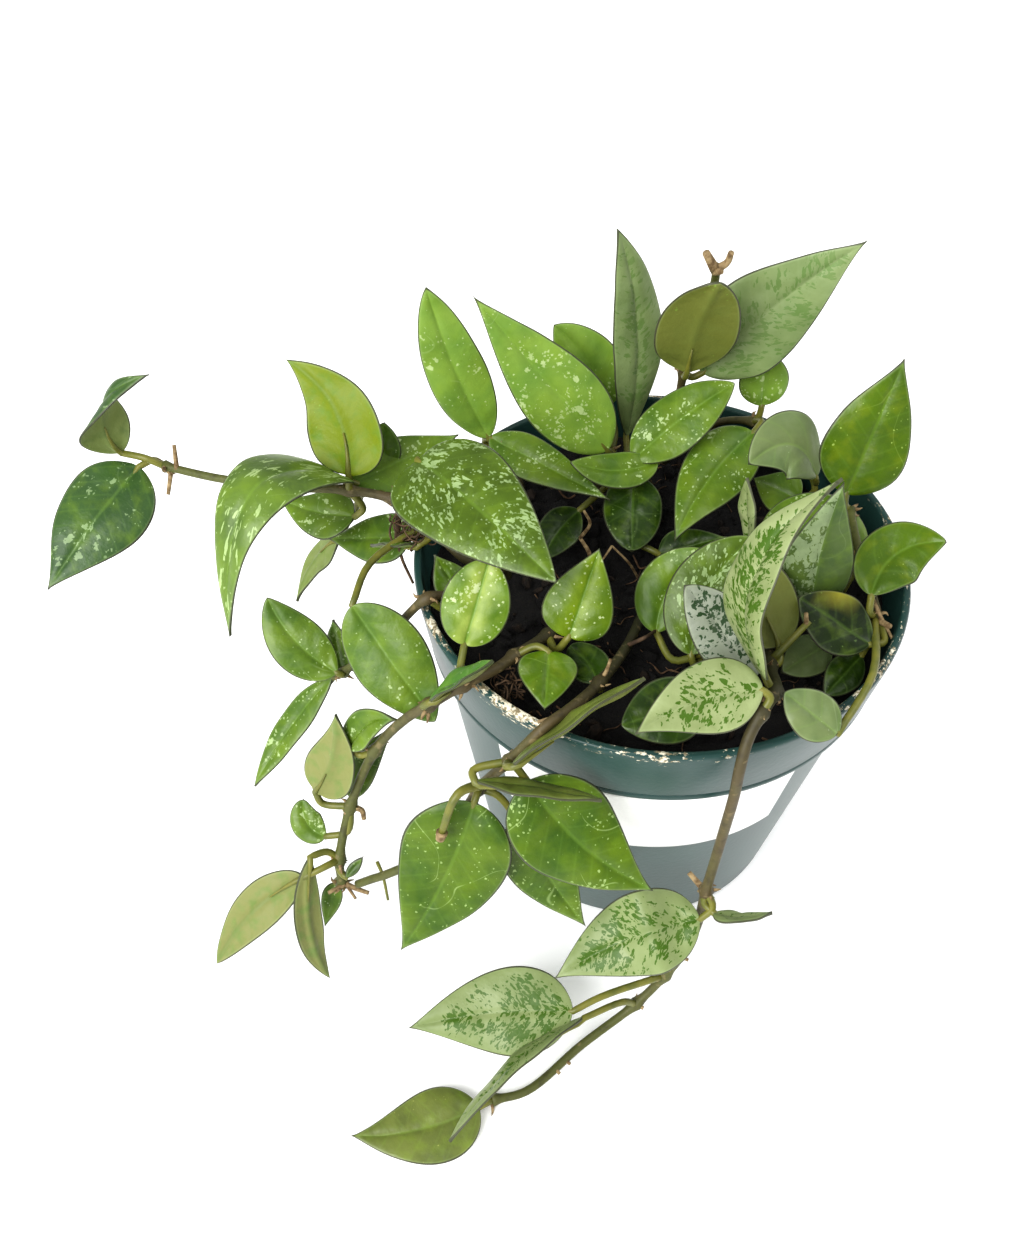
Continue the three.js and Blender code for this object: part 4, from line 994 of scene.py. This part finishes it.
class HoyaSoilSettings(bpy.types.PropertyGroup):
    crumbs: bpy.props.IntProperty(
        name="Crumbs", description="Loose bits of peat and bark on the soil", default=900, min=0)
    fibres: bpy.props.IntProperty(
        name="Fibres", description="Peat fibres and dead roots on the soil", default=110, min=0)
    peat: bpy.props.FloatVectorProperty(
        name="Peat colour", description="Damp peat", subtype="COLOR", size=4, min=0, max=1,
        default=linear("#080605"))


class HoyaStageSettings(bpy.types.PropertyGroup):
    floor: bpy.props.FloatVectorProperty(
        name="Floor colour", description="The pale table", subtype="COLOR", size=4, min=0, max=1,
        default=(1, 1, 1, 1))
    glow: bpy.props.FloatProperty(
        name="Table glow", description="Strength of the light from within the table", default=0.08, min=0)
    sky: bpy.props.FloatProperty(
        name="Room light", description="Strength of the light from all round", default=0.64, min=0)
    key: bpy.props.FloatProperty(
        name="Key light", description="Power of the large soft light", default=39.0, min=0, unit="POWER")


# ------------------------------------------------------------------ operators


class HOYA_OT_pot(bpy.types.Operator):
    """Turn the nursery pot and drill its drain holes"""

    bl_idname = "hoya.pot"
    bl_label = "Pot"

    def execute(self, context):
        settings = context.scene.hoya_pot
        bm = bmesh.new()
        profile = [bm.verts.new((r * MM, 0, z * MM)) for r, z in pot_profile()]
        edges = [bm.edges.new(pair) for pair in zip(profile, profile[1:])]
        bmesh.ops.spin(bm, geom=profile + edges, cent=(0, 0, 0), axis=(0, 0, 1), angle=2 * math.pi,
                       steps=ROUND_STEPS, use_merge=True)
        bmesh.ops.remove_doubles(bm, verts=bm.verts, dist=1e-6)
        bmesh.ops.recalc_face_normals(bm, faces=bm.faces)
        crease = math.radians(CREASE_ANGLE)
        corners = [e for e in bm.edges if e.is_manifold and e.calc_face_angle() > crease]
        bmesh.ops.bevel(bm, geom=corners, offset=settings.edge, segments=2, profile=0.5,
                        affect="EDGES", material=-1)
        for face in bm.faces:
            face.smooth = True
        shell = pot_polypropylene(list(settings.colour), list(settings.salt))
        piece = finish_piece("pot_shell", bm, [shell], "pot")
        self.drill(piece)
        return {"FINISHED"}

    def drill(self, piece):
        """Cuts the drain holes through the floor with one Boolean, which is applied."""
        bm = bmesh.new()
        for hole in range(DRAIN_HOLES):
            angle = 2 * math.pi * (hole + 0.5) / DRAIN_HOLES
            place = Vector((DRAIN_CIRCLE * math.cos(angle), DRAIN_CIRCLE * math.sin(angle), FLOOR_TOP / 2))
            bmesh.ops.create_cone(bm, cap_ends=True, segments=DRILL_SIDES, radius1=DRAIN_RADIUS * MM,
                                  radius2=DRAIN_RADIUS * MM, depth=DRILL_LENGTH * MM,
                                  matrix=Matrix.Translation(place * MM))
        drills = new_object("drills", bm)
        cut = piece.modifiers.new("drain", "BOOLEAN")
        cut.object = drills
        cut.operation = "DIFFERENCE"
        cut.solver = "EXACT"
        solved = piece.evaluated_get(bpy.context.evaluated_depsgraph_get())
        drilled = bpy.data.meshes.new_from_object(solved)
        piece.modifiers.clear()
        piece.data = drilled
        bpy.data.objects.remove(drills)


class HOYA_OT_soil(bpy.types.Operator):
    """Fill the pot with peat and scatter crumbs and fibres on it"""

    bl_idname = "hoya.soil"
    bl_label = "Soil"

    def execute(self, context):
        settings = context.scene.hoya_soil
        peat = self.peat(list(settings.peat))
        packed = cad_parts["soil"]
        packed.data.materials.clear()
        packed.data.materials.append(peat)
        dice = random.Random(SOIL_SEED)
        bm = bmesh.new()
        cells = grid_cells(bm, SOIL_SPOKES, SOIL_RINGS)
        dress_faces(cells, 0)
        for v, i, j in cells:
            angle = 2 * math.pi * i / SOIL_SPOKES
            r = SOIL_RADIUS * j / SOIL_RINGS
            x, y = r * math.cos(angle), r * math.sin(angle)
            v.co = Vector((x, y, soil_height(x, y) + SOIL_LIFT)) * MM
        bmesh.ops.remove_doubles(bm, verts=bm.verts, dist=1e-7)
        bmesh.ops.recalc_face_normals(bm, faces=bm.faces)
        for _ in range(settings.crumbs):
            self.crumb(bm, dice)
        for _ in range(settings.fibres):
            self.fibre(bm, dice)
        bark = plain_growth("bark_chips", "#15100b", "#2a1f15", HUSK_MOTTLE, 0.9)
        roots = plain_growth("peat_fibres", "#3f2f20", "#67503a", FIBRE_MOTTLE, 0.85)
        finish_piece("soil_surface", bm, [peat, bark, roots])
        return {"FINISHED"}

    def peat(self, colour):
        """Damp peat: almost black and rough, with lighter fibres."""
        material, tree, shader = material_with_shader("damp_peat", Roughness=0.92)
        where = node(tree, "ShaderNodeTexCoord").outputs["Object"]
        grains = node(tree, "ShaderNodeTexNoise",
                      {"Vector": where, "Scale": PEAT_GRAINS / MM, "Detail": 6.0, "Roughness": 0.7})
        share = node(tree, "ShaderNodeMapRange", {0: grains, 1: 0.5, 2: 0.74})
        peat = node(tree, "ShaderNodeMix", {0: share, 6: colour, 7: linear("#17110c")}, data_type="RGBA")
        tree.links.new(peat.outputs[2], shader.inputs["Base Color"])
        bump = node(tree, "ShaderNodeBump", {"Strength": 0.9, "Distance": 0.8 * MM, "Height": grains})
        tree.links.new(bump.outputs[0], shader.inputs["Normal"])
        return material

    def spot(self, dice):
        """A random place on the soil."""
        r = (SOIL_RADIUS - LOOSE_GAP) * math.sqrt(dice.random())
        angle = dice.uniform(0, 2 * math.pi)
        return r * math.cos(angle), r * math.sin(angle)

    def crumb(self, bm, dice):
        """One squashed crumb of peat or chip of bark."""
        x, y = self.spot(dice)
        size = CRUMB_LEAST + CRUMB_MORE * dice.random() ** 3
        turn = Quaternion([dice.gauss(0, 1) for _ in range(4)]).normalized()
        place = Vector((x, y, soil_height(x, y) + SOIL_LIFT + size * 0.3))
        made = bmesh.ops.create_icosphere(bm, subdivisions=1, radius=1)["verts"]
        shape = Vector((size, size * dice.uniform(0.5, 0.9), size * dice.uniform(0.3, 0.7)))
        for v in made:
            v.co = (turn @ Vector(a * b for a, b in zip(v.co * dice.uniform(0.8, 1.15), shape)) + place) * MM
        kind = 1 if dice.random() < BARK_SHARE else 0
        for face in {f for v in made for f in v.link_faces}:
            face.material_index = kind

    def fibre(self, bm, dice):
        """One thin curved fibre lying on the soil."""
        x, y = self.spot(dice)
        heading = dice.uniform(0, 2 * math.pi)
        points = []
        for _ in range(FIBRE_STEPS):
            heading += dice.gauss(0, 0.6)
            x += FIBRE_STEP * math.cos(heading)
            y += FIBRE_STEP * math.sin(heading)
            if math.hypot(x, y) > SOIL_RADIUS - LOOSE_GAP:
                break
            points.append(Vector((x, y, soil_height(x, y) + 0.8 + dice.uniform(0, 0.7))))
        if len(points) > 2:
            way = smooth_curve(points, 3)
            tube(bm, way, [dice.uniform(*FIBRE_RADII)] * len(way), 2, sides=4)


class HOYA_OT_label(bpy.types.Operator):
    """Stick the blank label round the wall"""

    bl_idname = "hoya.label"
    bl_label = "Label"

    def execute(self, context):
        low, high = LABEL_LOW.z / MM, LABEL_HIGH.z / MM
        middle = (low + high) / 2
        bm = bmesh.new()
        cells = grid_cells(bm, LABEL_COLUMNS, LABEL_ROWS)
        dress_faces(cells, 0)
        for v, i, j in cells:
            height = low + (high - low) * j / LABEL_ROWS
            along = LABEL_WIDTH * (i / LABEL_COLUMNS - 0.5)
            angle = math.radians(LABEL_AZIMUTH) + along / wall_radius(middle)
            radius = wall_radius(height) + LABEL_GAP + LABEL_THICKNESS / 2
            v.co = Vector((radius * math.cos(angle), radius * math.sin(angle), height)) * MM
        piece = finish_piece("paper_label", bm, [coated_paper()], "label")
        skin = piece.modifiers.new("paper", "SOLIDIFY")
        skin.thickness = LABEL_THICKNESS * MM
        skin.offset = 0
        return {"FINISHED"}


class HOYA_OT_leaves(bpy.types.Operator):
    """Lay out every leaf blade of every stem, in a piece for each stem and finish"""

    bl_idname = "hoya.leaves"
    bl_label = "Leaves"

    def execute(self, context):
        settings = context.scene.hoya_leaves
        dice = random.Random(settings.seed)
        finishes = {name: leaf_materials(name, look) for name, look in LOOKS.items()}
        for stem_name, stem in STEMS.items():
            throws = [self.throw(dice) for _ in stem.leaves]
            for slot in sorted({LOOKS[blade.look].slot for blade in stem.leaves}):
                here = [(b, d) for b, d in zip(stem.leaves, throws) if LOOKS[b.look].slot == slot]
                self.build(stem_name, slot, here, finishes, settings)
        return {"FINISHED"}

    def throw(self, dice):
        """One leaf's own random draws."""
        return SimpleNamespace(seed=dice.uniform(0, 900), veins=dice.uniform(0, 6),
                               waves=dice.uniform(1.1, 2.2), left=dice.random(), right=dice.random())

    def build(self, stem_name, slot, blades, finishes, settings):
        """One piece: the blades of a stem that share a slot, thick at the midrib and thin at the edges."""
        bm = bmesh.new()
        looks = sorted({blade.look for blade, _ in blades})
        for blade, dice in blades:
            leaf_blade(bm, blade, 2 * looks.index(blade.look), dice)
        materials = [side for name in looks for side in finishes[name]]
        piece = finish_piece(f"{stem_name}_{slot}", bm, materials, stem_name)
        piece.vertex_groups.new(name="body")
        skin = piece.modifiers.new("thickness", "SOLIDIFY")
        skin.thickness = settings.thickness
        skin.offset = 0
        skin.vertex_group = "body"
        skin.material_offset = 1
        rounding = piece.modifiers.new("round", "SUBSURF")
        rounding.levels = rounding.render_levels = settings.levels


class HOYA_OT_stems(bpy.types.Operator):
    """Grow the stems, the leaf stalks and the dry stubs"""

    bl_idname = "hoya.stems"
    bl_label = "Stems"

    def execute(self, context):
        bark = stem_bark()
        stalk = plain_growth("fleshy_stalk", "#6d6c2b", "#575c26", STALK_MOTTLE, 0.45)
        husk = plain_growth("dry_husk", "#96825f", "#5e4b30", HUSK_MOTTLE, 0.8)
        root = plain_growth("aerial_root", "#5a4632", "#3a2c1e", FIBRE_MOTTLE, 0.8)
        dice = random.Random(STEMS_SEED)
        for name, stem in STEMS.items():
            bm = bmesh.new()
            self.stem(bm, stem)
            for blade in stem.leaves:
                self.stalk(bm, blade, Vector(stem.path[blade.at]))
            for bit in stem.spurs:
                way = smooth_curve(bit.way, 5)
                thin = SPUR_TAPER / len(way)
                tube(bm, way, [bit.thick * (1 - thin * k) for k in range(len(way))], SPUR_KINDS[bit.kind])
            self.bracts(bm, stem, dice)
            for x, y, z, size in stem.tangles:
                self.tangle(bm, Vector((x, y, z)), size, dice)
            finish_piece(f"{name}_stem", bm, [bark, stalk, husk, root], name)
        return {"FINISHED"}

    def bracts(self, bm, stem, dice):
        """Small dry scales round each node where leaves grow, which stay above the table."""
        for at in sorted({blade.at for blade in stem.leaves}):
            joint = Vector(stem.path[at])
            for _ in range(BRACTS):
                away = Vector([dice.gauss(0, 1), dice.gauss(0, 1), dice.gauss(0, 0.7)]).normalized()
                far = dice.uniform(*BRACT_REACH)
                bend = Vector([dice.uniform(-0.5, 0.5) for _ in range(3)])
                knee = joint + away * far * 0.7 + bend
                way = smooth_curve([joint + away * BRACT_START, knee, joint + away * far], 3)
                for point in way:
                    point.z = max(point.z, BRACT_RADIUS)
                radii = [BRACT_RADIUS * (1 - BRACT_TAPER * k / (len(way) - 1)) for k in range(len(way))]
                tube(bm, way, radii, SPUR_KINDS["husk"], sides=6)

    def tangle(self, bm, middle, size, dice):
        """A clump of thin aerial roots curled round each other."""
        for _ in range(TANGLE_ROOTS):
            heading = Vector([dice.gauss(0, 1) for _ in range(3)]).normalized()
            points = [middle + heading * size * 0.6]
            for _ in range(TANGLE_STEPS):
                home = (middle - points[-1]) / size
                heading = (heading + home * 0.7 + Vector([dice.gauss(0, 0.5) for _ in range(3)])).normalized()
                points.append(points[-1] + heading * size * 0.4)
            way = smooth_curve(points, 3)
            tube(bm, way, [dice.uniform(*TANGLE_RADII)] * len(way), SPUR_KINDS["root"], sides=4)

    def stem(self, bm, stem):
        """The stem itself, swollen at the nodes where its leaves grow."""
        x, y = stem.root
        way = smooth_curve([(x, y, SOIL_TOP - STEM_DEPTH), (x, y, STEM_STRAIGHT), *stem.path], 8)
        joints = [Vector(stem.path[at]) for at in {blade.at for blade in stem.leaves}]
        radii = []
        for k, point in enumerate(way):
            swell = sum(math.exp(-((point - joint).length / SWELL_REACH) ** 2) for joint in joints)
            share = STEM_SHARE - STEM_TAPER * k / len(way) + STEM_SWELL * min(swell, 1)
            radii.append(stem.radius * share)
        tube(bm, way, radii, 0, sides=STEM_SIDES, ageing=True)

    def stalk(self, bm, blade, start):
        """A fleshy leaf stalk that runs on under the blade as its midrib."""
        way = stalk_points(blade, start)
        body = len(way) - len(RIB)
        radii = [STALK_RADIUS * (1 - STALK_TAPER * k / body) for k in range(body)]
        radii += [STALK_RADIUS * share for _, share in RIB]
        tube(bm, way, radii, SPUR_KINDS["stalk"])


class HOYA_OT_stage(bpy.types.Operator):
    """Set the pale table, the soft light and the camera"""

    bl_idname = "hoya.stage"
    bl_label = "Stage"

    def execute(self, context):
        settings = context.scene.hoya_stage
        self.table(settings)
        self.lights(context.scene, settings)
        self.camera(context.scene)
        context.scene.view_settings.view_transform = "Standard"
        context.scene.view_settings.look = "Medium High Contrast"
        return {"FINISHED"}

    def table(self, settings):
        """The white acrylic of a light table, whose glow takes most of the shadow away."""
        bm = bmesh.new()
        bmesh.ops.create_grid(bm, x_segments=1, y_segments=1, size=TABLE_REACH)
        material, _, _ = material_with_shader(
            "lit_acrylic", Roughness=0.6, Base_Color=settings.floor, Emission_Color=settings.floor,
            Emission_Strength=settings.glow)
        table = new_object("table", bm, [material])

    def lights(self, scene, settings):
        """Even light from the whole room, and two large soft lamps above."""
        world = bpy.data.worlds.new("white_room")
        world.use_nodes = True
        scene.world = world
        room = world.node_tree.nodes["Background"]
        room.inputs["Color"].default_value = (1, 1, 1, 1)
        room.inputs["Strength"].default_value = settings.sky
        for name, place, size, power in SOFT_LIGHTS:
            lamp = bpy.data.lights.new(name, "AREA")
            lamp.shape = "DISK"
            lamp.size = size
            lamp.energy = power * settings.key
            holder = bpy.data.objects.new(name, lamp)
            holder.location = place
            holder.rotation_euler = (LIGHT_AIM - Vector(place)).to_track_quat("-Z", "Y").to_euler()
            scene.collection.objects.link(holder)

    def camera(self, scene):
        """The photograph's viewpoint."""
        data = bpy.data.cameras.new("camera")
        data.sensor_width = CAMERA_SENSOR
        data.lens = CAMERA_LENS
        data.clip_start = 0.01
        camera = bpy.data.objects.new("camera", data)
        camera.location = Vector(CAMERA_PLACE) * MM
        camera.rotation_euler = (math.radians(90 - CAMERA_PITCH), 0, 0)
        scene.collection.objects.link(camera)
        scene.camera = camera


class HOYA_PT_panel(bpy.types.Panel):
    """Lists the plant's builders and their settings"""

    bl_idname = "HOYA_PT_panel"
    bl_label = "Potted hoya"
    bl_space_type = "VIEW_3D"
    bl_region_type = "UI"
    bl_category = "Hoya"

    def draw(self, context):
        for group, operators in PANEL_ROWS:
            box = self.layout.box()
            settings = getattr(context.scene, group)
            for name in settings.bl_rna.properties.keys():
                if name not in ("rna_type", "name"):
                    box.prop(settings, name)
            for operator in operators:
                box.operator(operator)


SETTINGS = {
    "hoya_pot": HoyaPotSettings,
    "hoya_soil": HoyaSoilSettings,
    "hoya_leaves": HoyaLeafSettings,
    "hoya_stage": HoyaStageSettings,
}
PANEL_ROWS = [
    ("hoya_pot", ["hoya.pot", "hoya.label"]),
    ("hoya_soil", ["hoya.soil"]),
    ("hoya_leaves", ["hoya.stems", "hoya.leaves"]),
    ("hoya_stage", ["hoya.stage"]),
]
CLASSES = [*SETTINGS.values(), HOYA_OT_pot, HOYA_OT_soil, HOYA_OT_label, HOYA_OT_leaves, HOYA_OT_stems,
           HOYA_OT_stage, HOYA_PT_panel]


def register():
    """Registers the classes and hangs each group of settings on the scene."""
    for cls in CLASSES:
        bpy.utils.register_class(cls)
    for name, group in SETTINGS.items():
        setattr(bpy.types.Scene, name, bpy.props.PointerProperty(type=group))


def unregister():
    """Takes away what register added."""
    for name in SETTINGS:
        delattr(bpy.types.Scene, name)
    for cls in reversed(CLASSES):
        bpy.utils.unregister_class(cls)


def main():
    """Builds the stage and the plant."""
    register()
    bpy.ops.hoya.stage()
    bpy.ops.hoya.pot()
    bpy.ops.hoya.label()
    bpy.ops.hoya.soil()
    bpy.ops.hoya.stems()
    bpy.ops.hoya.leaves()


if __name__ == "__main__":
    main()
